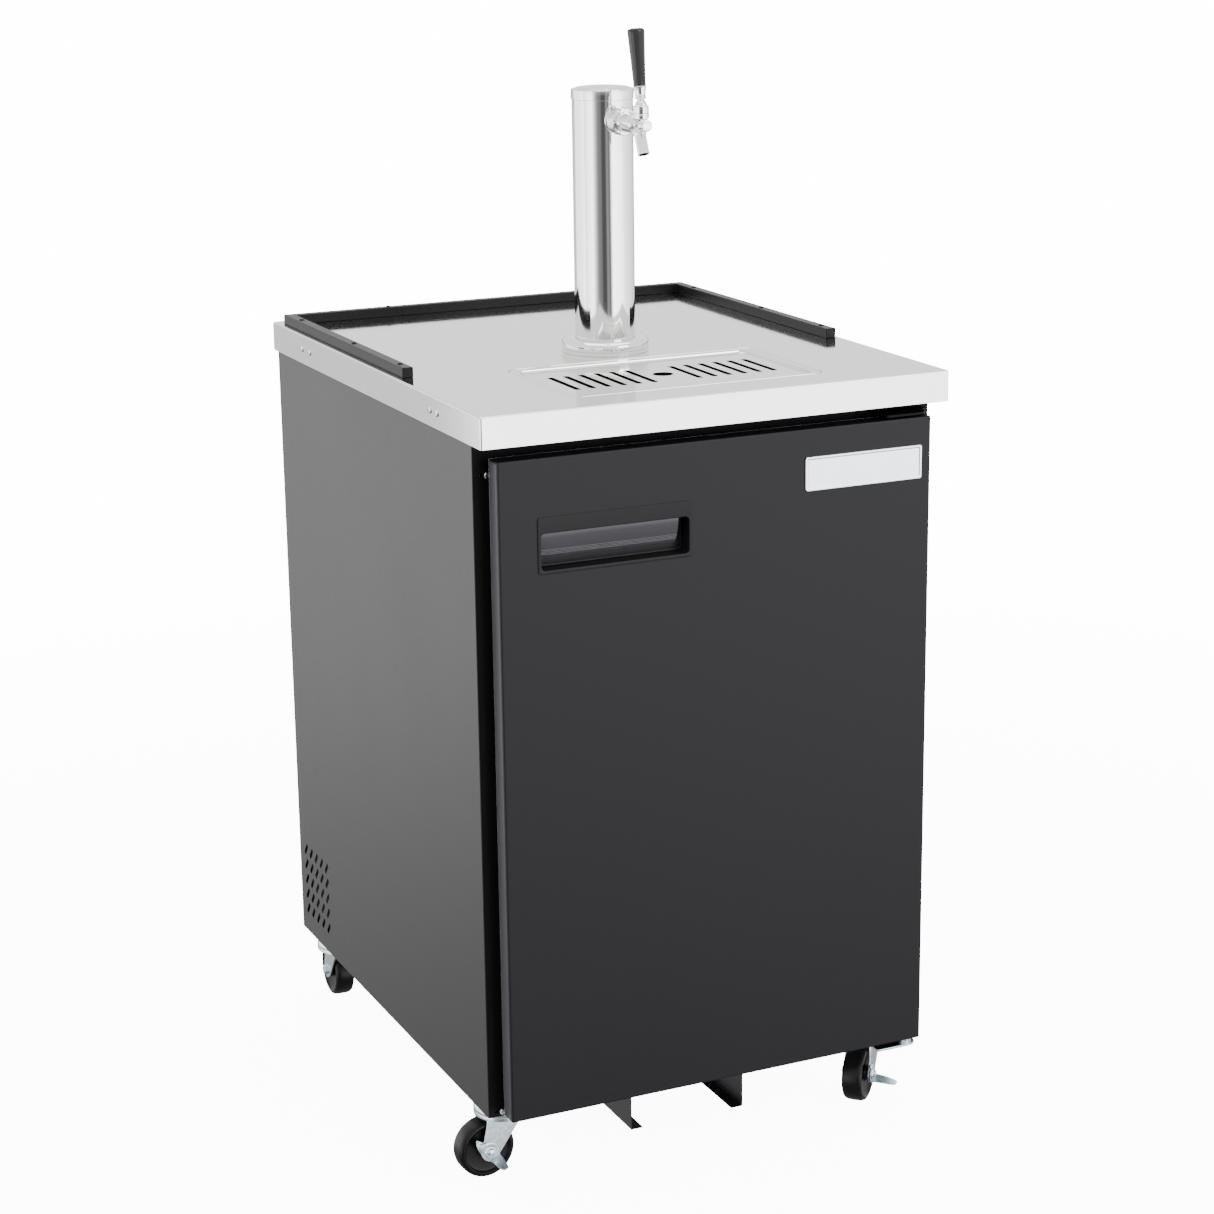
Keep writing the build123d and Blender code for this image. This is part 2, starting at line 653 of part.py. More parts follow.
def make_door_gasket():
    outer_x = HINGE_X - 4
    outer_low, outer_high = DOOR_LOW + 19.5, DOOR_HIGH - 12
    front, back = DOOR_BACK, CABINET_FRONT - 0.3
    gasket = block(-outer_x, outer_x, front, back, outer_low, outer_high)
    return gasket - block(
        -outer_x + 20, outer_x - 20, front - 1, back + 1, outer_low + 20, outer_high - 20
    )


def make_handle_frame():
    half_w, half_h = HANDLE_WIDTH / 2, HANDLE_HEIGHT / 2
    z0, z1 = HANDLE_Z - half_h, HANDLE_Z + half_h
    x0, x1 = HANDLE_X - half_w, HANDLE_X + half_w
    frame = block(x0, x1, DOOR_FRONT - 1.2, DOOR_FRONT, z0, z1)
    tub_x = POCKET_WIDTH / 2 + 1.2
    tub_low, tub_high = POCKET_LOW - 1.2, z1 - 3.2
    frame += block(HANDLE_X - tub_x, HANDLE_X + tub_x, DOOR_FRONT, POCKET_BACK, tub_low, tub_high)
    inner_x = POCKET_WIDTH / 2
    x0, x1 = HANDLE_X - inner_x, HANDLE_X + inner_x
    frame -= block(x0, x1, DOOR_FRONT, POCKET_BACK - 1.2, POCKET_LOW, tub_high - 1.2)
    return frame - block(x0, x1, DOOR_FRONT - 2, DOOR_FRONT + 1, POCKET_LOW, POCKET_HIGH)


GRIP_DROP = 31.5
GRIP_END_GAP = 13.0


def make_handle_grip():
    """A curved lip that hangs from the top of the pocket and curls back at its lower edge."""
    left = HANDLE_X - POCKET_WIDTH / 2 + 0.3
    right = HANDLE_X + POCKET_WIDTH / 2 - GRIP_END_GAP
    # distance behind the door's face, height above the top of the opening
    curve = [
        (0.1, 4.0), (0.1, -2.0), (1.2, -9.0), (3.2, -17.0), (6.0, -24.0), (9.0, -29.0), (11.5, -GRIP_DROP),
        (12.3, 2.0 - GRIP_DROP), (8.6, -24.0), (5.4, -16.5), (3.4, -8.6), (2.3, -1.0), (2.3, 4.0),
    ]
    outline = [(DOOR_FRONT + depth, POCKET_HIGH + height) for depth, height in curve]
    return Pos((left + right) / 2, 0, 0) * yz_prism(outline, (right - left) / 2)


def make_badge():
    x0, x1, z0, z1 = BADGE_BOX
    plate = block(x0, x1, DOOR_FRONT - 2.4, DOOR_FRONT, z0, z1)
    border = 4.0
    return plate - block(
        x0 + border, x1 - border, DOOR_FRONT - 3, DOOR_FRONT - 1.7, z0 + border, z1 - border
    )


# ---------------------------------------------------------------- refrigeration
FAN_Y = 276.0
FAN_Z = 205.0
FAN_X = 190.0
EVAPORATOR_X = 190.0
EVAPORATOR_FRONT = 256.0
EVAPORATOR_LOW = 700.0
EVAPORATOR_HIGH = 850.0
COIL_FAN_Z = 775.0
COIL_FAN_X = -60.0
KNOB_X = 140.0


def make_compressor():
    x, y, low = -130.0, 276.0, CABINET_BOTTOM + 1.5
    shell = rod((x, y, low + 22), (0, 0, 1), 62, 80)
    shell += turned([(0, 60), (62, 60), (58, 80), (46, 94), (26, 101), (0, 103)], (x, y, low + 42))
    plate = block(x - 85, x + 85, y - 60, y + 60, low + 8, low + 11)
    body = shell + plate + rod((x, y, low + 10), (0, 0, 1), 50, 20)
    for dx in (-72, 72):
        for dy in (-48, 48):
            body += rod((x + dx, y + dy, low), (0, 0, 1), 9, 9)
    return body + block(x + 55, x + 82, y - 22, y + 22, low + 40, low + 95)


def make_condenser():
    x0, x1, y0, y1, z0, z1 = 222.0, 268.0, 204.0, 348.0, 112.0, 296.0
    coil = block(x0, x1, y0, y1, z0, z1)
    for i in range(22):
        y = y0 + 6 + i * 6.2
        coil -= block(x0 - 1, x1 - 8, y, y + 4, z0 + 4, z1 - 4)
    return coil + block(x0, x1, y0 + 10, y0 + 30, CABINET_BOTTOM + 1.5, z0)


def make_fan_shroud():
    plate = block(210, 213, 200, 352, 112, 298) - rod((205, FAN_Y, FAN_Z), (1, 0, 0), 72, 12)
    motor = rod((146, FAN_Y, FAN_Z), (1, 0, 0), 27, 36)
    shaft = rod((182, FAN_Y, FAN_Z), (1, 0, 0), 3, 22)
    arms = block(170, 174, FAN_Y - 74, FAN_Y + 74, FAN_Z - 5, FAN_Z + 5)
    for side in (-1, 1):
        y = sorted((FAN_Y + side * 70, FAN_Y + side * 74))
        arms += block(170, 212, *y, FAN_Z - 5, FAN_Z + 5)
    foot = block(205, 213, FAN_Y - 40, FAN_Y + 40, CABINET_BOTTOM + 1.5, 113)
    return plate + motor + shaft + arms + foot


def fan_blades(radius, hub_r, thick, count):
    """A fan wheel round the vertical axis: a hub with flat blades set at an angle."""
    base = (Align.CENTER, Align.CENTER, Align.CENTER)
    wheel = Cylinder(hub_r, thick, align=base)
    for i in range(count):
        blade = Box(radius - hub_r + 2, radius * 0.62, 1.6)
        blade = Pos((radius + hub_r) / 2 - 1, 0, 0) * Rot(24, 0, 0) * blade
        wheel += Rot(0, 0, 360 * i / count) * blade
    keep = Cylinder(radius, 60, align=base)
    return wheel & keep


def make_condenser_fan():
    wheel = fan_blades(66, 17, 12, 4)
    placed = Pos(FAN_X + 6, FAN_Y, FAN_Z) * Rot(0, 90, 0) * wheel
    return placed - rod((170, FAN_Y, FAN_Z), (1, 0, 0), 3 + RUNNING, 50)


def make_evaporator_cover():
    x, y0, y1 = EVAPORATOR_X, EVAPORATOR_FRONT, LINER_BACK - LINER_SHEET
    z0, z1 = EVAPORATOR_LOW, EVAPORATOR_HIGH
    cover = block(-x, x, y0, y1, z0, z1) - block(-x + 1.5, x - 1.5, y0 + 1.5, y1 + 1, z0 + 1.5, z1 - 1.5)
    cover -= rod((COIL_FAN_X, y0 - 1, COIL_FAN_Z), (0, 1, 0), 56, 4)
    for i in range(6):
        cover -= block(-x + 20 + 60 * i, -x + 60 + 60 * i, y0 + 8, y0 + 40, z0 - 1, z0 + 3)
    cover += block(COIL_FAN_X - 60, COIL_FAN_X + 60, y0 + 24, y0 + 27, COIL_FAN_Z - 6, COIL_FAN_Z + 6)
    cover += rod((COIL_FAN_X, y0 + 24, COIL_FAN_Z), (0, -1, 0), 3, 20)
    cover += block(COIL_FAN_X - 62, COIL_FAN_X - 58, y0 + 1, y0 + 27, COIL_FAN_Z - 6, COIL_FAN_Z + 6)
    cover += block(COIL_FAN_X + 58, COIL_FAN_X + 62, y0 + 1, y0 + 27, COIL_FAN_Z - 6, COIL_FAN_Z + 6)
    return cover - rod((KNOB_X, y0 - 1, COIL_FAN_Z), (0, 1, 0), 4 + RUNNING, 5)


def make_evaporator_fan():
    wheel = fan_blades(50, 14, 10, 4)
    placed = Pos(COIL_FAN_X, EVAPORATOR_FRONT + 12, COIL_FAN_Z) * Rot(90, 0, 0) * wheel
    return placed - rod((COIL_FAN_X, EVAPORATOR_FRONT - 5, COIL_FAN_Z), (0, 1, 0), 3 + RUNNING, 40)


def make_evaporator_coil():
    y0, y1 = EVAPORATOR_FRONT + 30, LINER_BACK - LINER_SHEET - 2
    coil = block(-170, 120, y0, y1, EVAPORATOR_LOW + 12, EVAPORATOR_HIGH - 12)
    for i in range(28):
        x = -164 + i * 10
        coil -= block(x, x + 7, y0 - 1, y1 - 6, EVAPORATOR_LOW + 18, EVAPORATOR_HIGH - 18)
    return coil


def make_thermostat_knob():
    face = EVAPORATOR_FRONT
    knob = rod((KNOB_X, face - 0.4, COIL_FAN_Z), (0, -1, 0), 17, 14)
    knob += rod((KNOB_X, face - 1, COIL_FAN_Z), (0, 1, 0), 4, 12)
    return knob + block(KNOB_X - 1.5, KNOB_X + 1.5, face - 16, face - 14, COIL_FAN_Z, COIL_FAN_Z + 15)


def make_power_inlet():
    face = CABINET_BACK
    gland = rod((INLET_X, face, INLET_Z), (0, 1, 0), 12, 6)
    gland += rod((INLET_X, face - 6, INLET_Z), (0, 1, 0), 8, 6)
    gland += rod((INLET_X, face + 6, INLET_Z), (0, 1, 0), 9, 5)
    return gland - rod((INLET_X, face - 7, INLET_Z), (0, 1, 0), 4, 20)


# ---------------------------------------------------------------- casters
PLATE_LOW = CABINET_BOTTOM - 3.0
RACEWAY_LOW = 84.5
RACEWAY_R = 35.4
SKIRT_LOW = 80.0
CROWN_LOW = 78.0
CROWN_BACK = -27.0
CROWN_FRONT = 22.0
BOSS_R = 23.0
KINGPIN_R = 5.0
LEG_IN = WHEEL_WIDTH / 2 + 1.5
LEG_OUT = LEG_IN + 2.5
AXLE_R = 4.0
BRAKE_FACE = -(LEG_OUT + 0.3)
TOE_REACH = 29.0


def caster_place(x, y, turn):
    """Moves a piece made round a kingpin at the origin to its place under the cabinet."""
    return Pos(x, y, 0) * Rot(0, 0, turn)


def make_caster_plates():
    plates = []
    for _, x, y, _, _ in CASTERS:
        plate = rounded_plate(72, 66, 6, 3, (0, 0, PLATE_LOW))
        for dx in (-28, 28):
            for dy in (-25, 25):
                plate += rod((dx, dy, PLATE_LOW - 3.4), (0, 0, 1), 5.2, 3.5)
        plate += rod((0, 0, RACEWAY_LOW), (0, 0, 1), RACEWAY_R, PLATE_LOW - RACEWAY_LOW)
        plate += ring((0, 0, SKIRT_LOW), (0, 0, 1), RACEWAY_R, RACEWAY_R - 1.5, RACEWAY_LOW - SKIRT_LOW)
        plate += rod((0, 0, CROWN_LOW - 3.6), (0, 0, 1), KINGPIN_R, RACEWAY_LOW - CROWN_LOW + 5)
        plate += rod((0, 0, CROWN_LOW - 3.6), (0, 0, 1), 8, 3.2)
        plates.append(Pos(x, y, 0) * plate)
    return plates


def fork_leg(y0, y1):
    """One side of the fork: wide under the crown and round at the axle."""
    base = Plane(origin=(0, y1, 0), x_dir=(1, 0, 0), z_dir=(0, -1, 0))
    top = CROWN_LOW + 3
    eye = Pos(-TRAIL, WHEEL_R) * Circle(12)
    corners = [
        (CROWN_BACK, top),
        (CROWN_FRONT, top),
        (-TRAIL + 16, WHEEL_R - 3.5),
        (-TRAIL + 8, WHEEL_R - 8.9),
        (-TRAIL - 11.9, WHEEL_R + 1),
        (-TRAIL - 8.5, WHEEL_R + 8.5),
    ]
    return extrude(base * (make_face(Polyline(*corners, close=True)) + eye), y1 - y0)


def make_caster_fork():
    fork = fork_leg(-LEG_OUT, -LEG_IN) + fork_leg(LEG_IN, LEG_OUT)
    fork += block(CROWN_BACK, CROWN_FRONT, -LEG_OUT, LEG_OUT, CROWN_LOW, CROWN_LOW + 3)
    fork += rod((0, 0, CROWN_LOW), (0, 0, 1), BOSS_R, RACEWAY_LOW - 0.4 - CROWN_LOW)
    fork -= rod((0, 0, CROWN_LOW - 1), (0, 0, 1), KINGPIN_R + RUNNING, 12)
    hole = rod((-TRAIL, -LEG_OUT - 1, WHEEL_R), (0, 1, 0), AXLE_R, 2 * LEG_OUT + 2)
    axle = rod((-TRAIL, -LEG_OUT - 5, WHEEL_R), (0, 1, 0), AXLE_R, 2 * LEG_OUT + 5)
    axle += rod((-TRAIL, LEG_OUT, WHEEL_R), (0, 1, 0), 7, 3.5)
    return [fork - hole, axle]


def make_caster_wheel():
    half = WHEEL_WIDTH / 2
    r = WHEEL_R
    hub = AXLE_R + RUNNING
    edge = 5.0
    outline = make_face(
        Polyline(
            (hub, -half), (10, -half), (11, -half + 4), (29, -half + 4), (31, -half + 0.6),
            (r - edge, -half), (r - 1.4, -half + 1.4), (r, -half + edge),
            (r, half - edge), (r - 1.4, half - 1.4), (r - edge, half),
            (31, half - 0.6), (29, half - 4), (11, half - 4), (10, half), (hub, half),
            close=True,
        )
    )
    wheel = revolve(outline, Axis.Y, 360)
    return Pos(-TRAIL, 0, WHEEL_R) * wheel


def make_caster_brake():
    """A stamped foot lever on the end of the axle; its lower ear is folded out for the toe."""
    face = Plane(origin=(-TRAIL, BRAKE_FACE, WHEEL_R), x_dir=(1, 0, 0), z_dir=(0, -1, 0))
    ears = make_face(
        Polyline((13.5, -9), (9, 3), (-7, 13), (-21, 14), (-13, -2), (-2, -13), close=True)
    )
    lever = extrude(face * (ears + Circle(12)), 2)
    strip = [(-2, -13), (1, -13.8), (13.5, -9), (12.5, -6.6), (0, -11)]
    toe = extrude(face * make_face(Polyline(*strip, close=True)), TOE_REACH)
    lever += toe
    return lever - rod((-TRAIL, BRAKE_FACE + 1, WHEEL_R), (0, -1, 0), AXLE_R + RUNNING, 14)


# ---------------------------------------------------------------- write every sub-part
def group(solids):
    """Several separate solids that share one file."""
    return Compound(children=list(solids))


SINGLE = {
    "worktop": make_worktop,
    "guard_rail": make_guard_rail,
    "drip_pan": make_drip_pan,
    "drip_grille": make_drip_grille,
    "drain_tube": make_drain_tube,
    "tower_flange": make_tower_flange,
    "tower_column": make_tower_column,
    "tower_cap": make_tower_cap,
    "tower_insulation": make_tower_insulation,
    "beer_shank": make_beer_shank,
    "coupling_nut": make_coupling_nut,
    "faucet_body": make_faucet_body,
    "faucet_shaft": make_faucet_shaft,
    "lever_bonnet": make_lever_bonnet,
    "tap_lever": make_tap_lever,
    "tap_ferrule": make_tap_ferrule,
    "tap_handle": make_tap_handle,
    "back_panel": make_back_panel,
    "rear_grille": make_rear_grille,
    "front_frame": make_front_frame,
    "inner_liner": make_inner_liner,
    "foam_insulation": make_foam_insulation,
    "base_pan": make_base_pan,
    "hinge_bracket_top": make_hinge_bracket_top,
    "hinge_bracket_bottom": make_hinge_bracket_bottom,
    "compressor": make_compressor,
    "condenser": make_condenser,
    "fan_shroud": make_fan_shroud,
    "condenser_fan": make_condenser_fan,
    "evaporator_cover": make_evaporator_cover,
    "evaporator_coil": make_evaporator_coil,
    "evaporator_fan": make_evaporator_fan,
    "thermostat_knob": make_thermostat_knob,
    "power_inlet": make_power_inlet,
    "door_skin": make_door_skin,
    "door_liner": make_door_liner,
    "door_foam": make_door_foam,
    "door_gasket": make_door_gasket,
    "handle_frame": make_handle_frame,
    "handle_grip": make_handle_grip,
    "badge": make_badge,
}

GROUPED = {
    "worktop_screws": make_worktop_screws,
    "rail_screws": make_rail_screws,
    "tower_screws": make_tower_screws,
    "beer_line": make_beer_line,
    "panel_screws": make_panel_screws,
    "skids": make_skids,
    "caster_plates": make_caster_plates,
}

for node, maker in SINGLE.items():
    save(node, maker())

for node, maker in GROUPED.items():
    save(node, group(maker()))

for side, panel_name in ((-1, "side_panel_left"), (1, "side_panel_right")):
    save(panel_name, make_side_panel(side))

for corner, pivot_x, pivot_y, turn, braked in CASTERS:
    place = caster_place(pivot_x, pivot_y, turn)
    save(f"caster_fork_{corner}", group([place * piece for piece in make_caster_fork()]))
    save(f"caster_wheel_{corner}", place * make_caster_wheel())
    if braked:
        save(f"caster_brake_{corner}", place * make_caster_brake())
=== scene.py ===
# %% [markdown]
# # A draught beer cabinet
# The lesson starts from an engineering model that is already the right size. Every piece made
# here is laid over one of its solids, in the same place and in metres, so that a door, a tap
# lever or a caster still turns about its own pin. Places are read from the box of the solid that
# a piece stands for, and the numbers that are left are the details that the solids leave out.

# %% Load the frame
import json
import math
import bpy
import bmesh
from mathutils import Matrix, Vector


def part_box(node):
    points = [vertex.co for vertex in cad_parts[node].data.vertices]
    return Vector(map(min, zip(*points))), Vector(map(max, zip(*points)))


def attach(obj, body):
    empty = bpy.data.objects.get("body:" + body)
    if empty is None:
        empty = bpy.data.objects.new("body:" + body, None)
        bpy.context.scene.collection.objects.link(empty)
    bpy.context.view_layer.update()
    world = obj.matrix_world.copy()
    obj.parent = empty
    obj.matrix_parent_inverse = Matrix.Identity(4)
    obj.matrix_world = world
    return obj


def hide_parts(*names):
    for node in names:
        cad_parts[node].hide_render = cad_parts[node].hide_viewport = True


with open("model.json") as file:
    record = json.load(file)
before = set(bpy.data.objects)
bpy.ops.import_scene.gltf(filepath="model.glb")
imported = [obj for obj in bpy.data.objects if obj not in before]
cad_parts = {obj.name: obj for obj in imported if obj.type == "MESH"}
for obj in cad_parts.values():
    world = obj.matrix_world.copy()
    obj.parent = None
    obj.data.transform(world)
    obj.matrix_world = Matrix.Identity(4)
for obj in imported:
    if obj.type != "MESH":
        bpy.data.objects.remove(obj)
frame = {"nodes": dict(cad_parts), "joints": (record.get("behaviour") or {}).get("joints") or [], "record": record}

MM = 0.001
scene = bpy.context.scene
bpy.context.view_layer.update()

# %% [markdown]
# Sheet metal and turned parts are easiest to think about in millimetres, so the helpers below
# work in those and change to metres once, when a mesh is made.

# %% Read a solid's place
def span(node):
    """Lowest and highest x, y and z of an engineering solid, in millimetres."""
    low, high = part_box(node)
    return [c / MM for pair in zip(low, high) for c in pair]


print("worktop", [round(c, 1) for c in span("worktop")])

# %% [markdown]
# ## Camera and light
# The camera stands in front and to the left, above the worktop, with a long lens so that the
# upright edges stay almost parallel. It is set from an azimuth, an elevation and a slight roll.

# %% Camera
def aim(azimuth, elevation, roll):
    """The camera's right, up and backward axes."""
    a, e, r = (math.radians(t) for t in (azimuth, elevation, roll))
    back = Vector((math.sin(a) * math.cos(e), -math.cos(a) * math.cos(e), math.sin(e)))
    right = (-back).cross(Vector((0, 0, 1))).normalized()
    up = right.cross(-back)
    return right * math.cos(r) + up * math.sin(r), up * math.cos(r) - right * math.sin(r), back


AZIMUTH, ELEVATION, ROLL = -24.48, 15.32, -0.746
STAND = (-1.4335, -3.1862, 1.585)
LENS_MM = 81.96
lens = bpy.data.cameras.new("studio_camera")
lens.lens = LENS_MM
lens.sensor_width = 36.0
lens.clip_end = 60.0
camera = bpy.data.objects.new("studio_camera", lens)
scene.collection.objects.link(camera)
axes = Matrix(aim(AZIMUTH, ELEVATION, ROLL)).transposed().to_4x4()
camera.matrix_world = Matrix.Translation(STAND) @ axes
scene.camera = camera
print("camera", [round(c, 3) for c in camera.location])

# %% [markdown]
# ## Writing shader sums as Python
# A finish is a small network of nodes. Written out by hand that is long and hard to read, so one
# class holds a node's output and turns +, -, * and / into Math nodes. The reflected forms let
# `1 - mask` work as well. Every other kind of node comes from a single method.

# %% Wires and networks
class Wire:
    """The output of a shader node, in a form that sums can be written with."""

    def __init__(self, network, socket):
        self.network, self.socket = network, socket

    def sum(self, operation, first, second):
        return self.network.node("Math", {"operation": operation}, {0: first, 1: second})

    def __add__(self, other):
        return self.sum("ADD", self, other)

    def __sub__(self, other):
        return self.sum("SUBTRACT", self, other)

    def __rsub__(self, other):
        return self.sum("SUBTRACT", other, self)

    def __mul__(self, other):
        return self.sum("MULTIPLY", self, other)

    def __truediv__(self, other):
        return self.sum("DIVIDE", self, other)

    __radd__ = __add__
    __rmul__ = __mul__


def grey(level):
    return (level, level, level, 1)


class Network:
    """A node tree with one way to add a node: its kind, its settings, then its sockets."""

    def __init__(self, tree):
        self.tree = tree

    def node(self, kind, settings=None, sockets=None, out=0):
        made = self.tree.nodes.new("ShaderNode" + kind)
        for key, value in (settings or {}).items():
            if key == "stops":
                ramp = made.color_ramp.elements
                while len(ramp) < len(value):
                    ramp.new(0.5)
                for stop, (place, shade) in zip(ramp, value):
                    stop.position = place
                    stop.color = grey(shade)
            else:
                setattr(made, key, value)
        for key, value in (sockets or {}).items():
            self.plug(made.inputs[key], value)
        return Wire(self, made.outputs[out])

    def plug(self, socket, value):
        if isinstance(value, Wire):
            self.tree.links.new(value.socket, socket)
        else:
            socket.default_value = value

    def noise(self, scale, stretch=(1, 1, 1), detail=4.0, rough=0.5):
        """Noise that is fixed to the piece; a stretch below 1 draws it out along that axis."""
        place = self.node("TexCoord", out="Object")
        drawn = self.node("Mapping", None, {"Vector": place, "Scale": stretch})
        sockets = {"Vector": drawn, "Scale": scale, "Detail": detail, "Roughness": rough}
        return self.node("TexNoise", None, sockets)

    def between(self, low, high, factor):
        """A value that runs from low to high."""
        return factor * (high - low) + low

    def mixed(self, factor, first, second):
        """Two colours or colour outputs, mixed by a factor."""
        sockets = {0: factor, 6: first, 7: second}
        return self.node("Mix", {"data_type": "RGBA"}, sockets, out=2)

    def tint(self, dark, light, factor):
        """A colour between a dark and a light one."""
        return self.mixed(factor, (*dark, 1), (*light, 1))

    def contrast(self, value, low, high, first=0.0, last=1.0):
        """Spreads the part of a value between low and high out to a whole range."""
        sockets = {"Value": value, "From Min": low, "From Max": high, "To Min": first,
                   "To Max": last}
        return self.node("MapRange", {"clamp": True}, sockets)


print("network helpers ready")

# %% [markdown]
# ## The studio
# Polished steel shows what stands round it, so a plain white room would leave the tower with no
# form. The walls here are a ring of bright and dark uprights, set by their place round the circle,
# and each one becomes a band on the column. The walls darken towards the floor, and overhead they
# turn to one even grey that the level worktop shows. What the lens sees behind the object is plain.

# %% Room
room = bpy.data.worlds.new("studio_room")
scene.world = room
room.use_nodes = True
walls = Network(room.node_tree)
WALLS = [
    (0.000, 0.60), (0.019, 0.74), (0.067, 0.86), (0.086, 0.42), (0.108, 0.15), (0.130, 0.06),
    (0.160, 0.045), (0.172, 0.020), (0.204, 0.020), (0.216, 0.065), (0.230, 0.070),
    (0.238, 0.045), (0.250, 0.045), (0.262, 0.34), (0.280, 1.04), (0.334, 0.92), (0.385, 0.78),
    (0.413, 0.56), (0.476, 0.41), (0.565, 0.28), (0.600, 0.24), (0.612, 0.04), (0.655, 0.04),
    (0.670, 0.18), (0.766, 0.20), (0.871, 0.24), (0.907, 0.26), (0.938, 0.34), (0.967, 0.48),
    (1.000, 0.60),
]
NEAR_FLOOR, OVERHEAD, BACKDROP, ROOM_LIGHT = grey(0.07), grey(0.30), grey(2.6), 6.0
sideways, along, upward = (
    walls.node("SeparateXYZ", None, {0: walls.node("TexCoord", out="Generated")}, out=axis)
    for axis in range(3)
)
turn_round = walls.node("Math", {"operation": "ARCTAN2"}, {0: along, 1: sideways})
around = turn_round / (2 * math.pi) + 0.5
upright = walls.node("ValToRGB", {"stops": WALLS}, {0: around})
lower = walls.mixed(walls.contrast(upward, -0.44, -0.24, 1.0, 0.0), upright, NEAR_FLOOR)
shade = walls.mixed(walls.contrast(upward, -0.07, 0.10), lower, OVERHEAD)
backdrop = walls.mixed(walls.node("LightPath", out="Is Camera Ray"), shade, BACKDROP)
surround = room.node_tree.nodes["Background"]
walls.plug(surround.inputs["Color"], backdrop)
surround.inputs["Strength"].default_value = ROOM_LIGHT
print("room stops", len(WALLS))

# %% [markdown]
# Three large soft lamps do the rest: one in front for the door, one low on the left that grades
# the side panel from top to bottom, and one overhead. A large lamp gives a coat a wide, soft
# highlight, where a small one would leave a hard spot.

# %% Lamps
def soft_lamp(name, place, target, size, power):
    """A large soft light pointed at a spot."""
    lamp = bpy.data.lights.new(name, "AREA")
    lamp.shape = "RECTANGLE"
    lamp.size, lamp.size_y = size
    lamp.energy = power
    holder = bpy.data.objects.new(name, lamp)
    scene.collection.objects.link(holder)
    holder.location = place
    holder.rotation_euler = (Vector(target) - Vector(place)).to_track_quat("-Z", "Y").to_euler()
    return holder


soft_lamp("front_soft_box", (1.6, -3.2, 2.6), (0, 0, 0.9), (1.8, 1.4), 60)
soft_lamp("side_soft_box", (-3.6, 2.6, 0.3), (-0.2, 0, 0.3), (4.6, 2.6), 72)
soft_lamp("top_soft_box", (0.1, 0.1, 3.4), (0, 0, 0.9), (2.6, 2.6), 60)
print("three lamps")

# %% [markdown]
# The floor is a disc of white paper. It glows, so that it stays white under the object, and its
# rim fades out so that it has no edge. It is hidden from reflections and bounced light, because
# the steel should show the walls, and the black coats should not pick up a white floor.

# %% Floor
FLOOR_R, FADE_FROM, FADE_TO, FLOOR_GLOW = 3.2, 1.3, 3.0, 11.0
floor_mesh = bpy.data.meshes.new("floor")
shape = bmesh.new()
bmesh.ops.create_circle(shape, cap_ends=True, segments=96, radius=FLOOR_R)
shape.to_mesh(floor_mesh)
shape.free()
floor = bpy.data.objects.new("floor", floor_mesh)
scene.collection.objects.link(floor)
floor_paint = bpy.data.materials.new("floor_white")
floor_paint.use_nodes = True
paper = Network(floor_paint.node_tree)
matt = floor_paint.node_tree.nodes["Principled BSDF"]
matt.inputs["Base Color"].default_value = grey(0.93)
matt.inputs["Specular IOR Level"].default_value = 0.0
matt.inputs["Emission Color"].default_value = grey(1)
matt.inputs["Emission Strength"].default_value = FLOOR_GLOW
paper.plug(matt.inputs["Roughness"], paper.between(0.85, 0.95, paper.noise(6.0)))
spot = paper.node("TexCoord", out="Object")
reach = paper.node("VectorMath", {"operation": "LENGTH"}, {0: spot}, out="Value")
paper.plug(matt.inputs["Alpha"], paper.contrast(reach, FADE_FROM, FADE_TO, 1.0, 0.0))
floor_mesh.materials.append(floor_paint)
floor.visible_glossy = False
floor.visible_diffuse = False
print("floor radius", FLOOR_R)

# %% [markdown]
# ## Finishes
# Each finish is what the real surface went through: rolled and brushed, turned and polished,
# plated, powder coated, moulded. The scale of the grain is what makes it read as the right
# material: brush lines lie about a millimetre apart or less, and powder coat bumps are about a
# millimetre across, while handling marks and dust come in patches of several centimetres.

# %% One finish
FINISHES = {}


class Finish(Network):
    """A material: fixed numbers are set on its shader, and varying ones are fed to it."""

    def __init__(self, slot, metallic=0.0, gloss=0.5):
        self.material = bpy.data.materials.new(slot)
        self.material.use_nodes = True
        super().__init__(self.material.node_tree)
        self.shader = self.tree.nodes["Principled BSDF"]
        self.shader.inputs["Metallic"].default_value = metallic
        self.shader.inputs["Specular IOR Level"].default_value = gloss
        FINISHES[slot] = self

    def feed(self, name, value):
        self.plug(self.shader.inputs[name], value)
        return self

    def relief(self, height, depth):
        """Raises and sinks the surface by a height from 0 to 1, over a depth in millimetres."""
        sockets = {"Height": height, "Distance": depth * MM, "Strength": 1.0}
        return self.feed("Normal", self.node("Bump", None, sockets))


def worn_metal(slot, dark, light, smooth, rough, stretch, grain, depth):
    """Bare metal: a drawn-out grain, a slow change of shine, and faint handling marks."""
    metal = Finish(slot, metallic=1.0)
    lines = metal.noise(grain, stretch, detail=3.0, rough=0.6)
    cloud = metal.noise(7.0, detail=3.0)
    marks = metal.contrast(metal.noise(28.0, detail=6.0, rough=0.7), 0.45, 0.75)
    tone = metal.contrast(lines * 0.6 + cloud * 0.4, 0.3, 0.7)
    metal.feed("Base Color", metal.tint(dark, light, tone))
    metal.feed("Roughness", metal.between(smooth, rough, lines * 0.5 + cloud * 0.3 + marks * 0.2))
    return metal.relief(lines, depth)


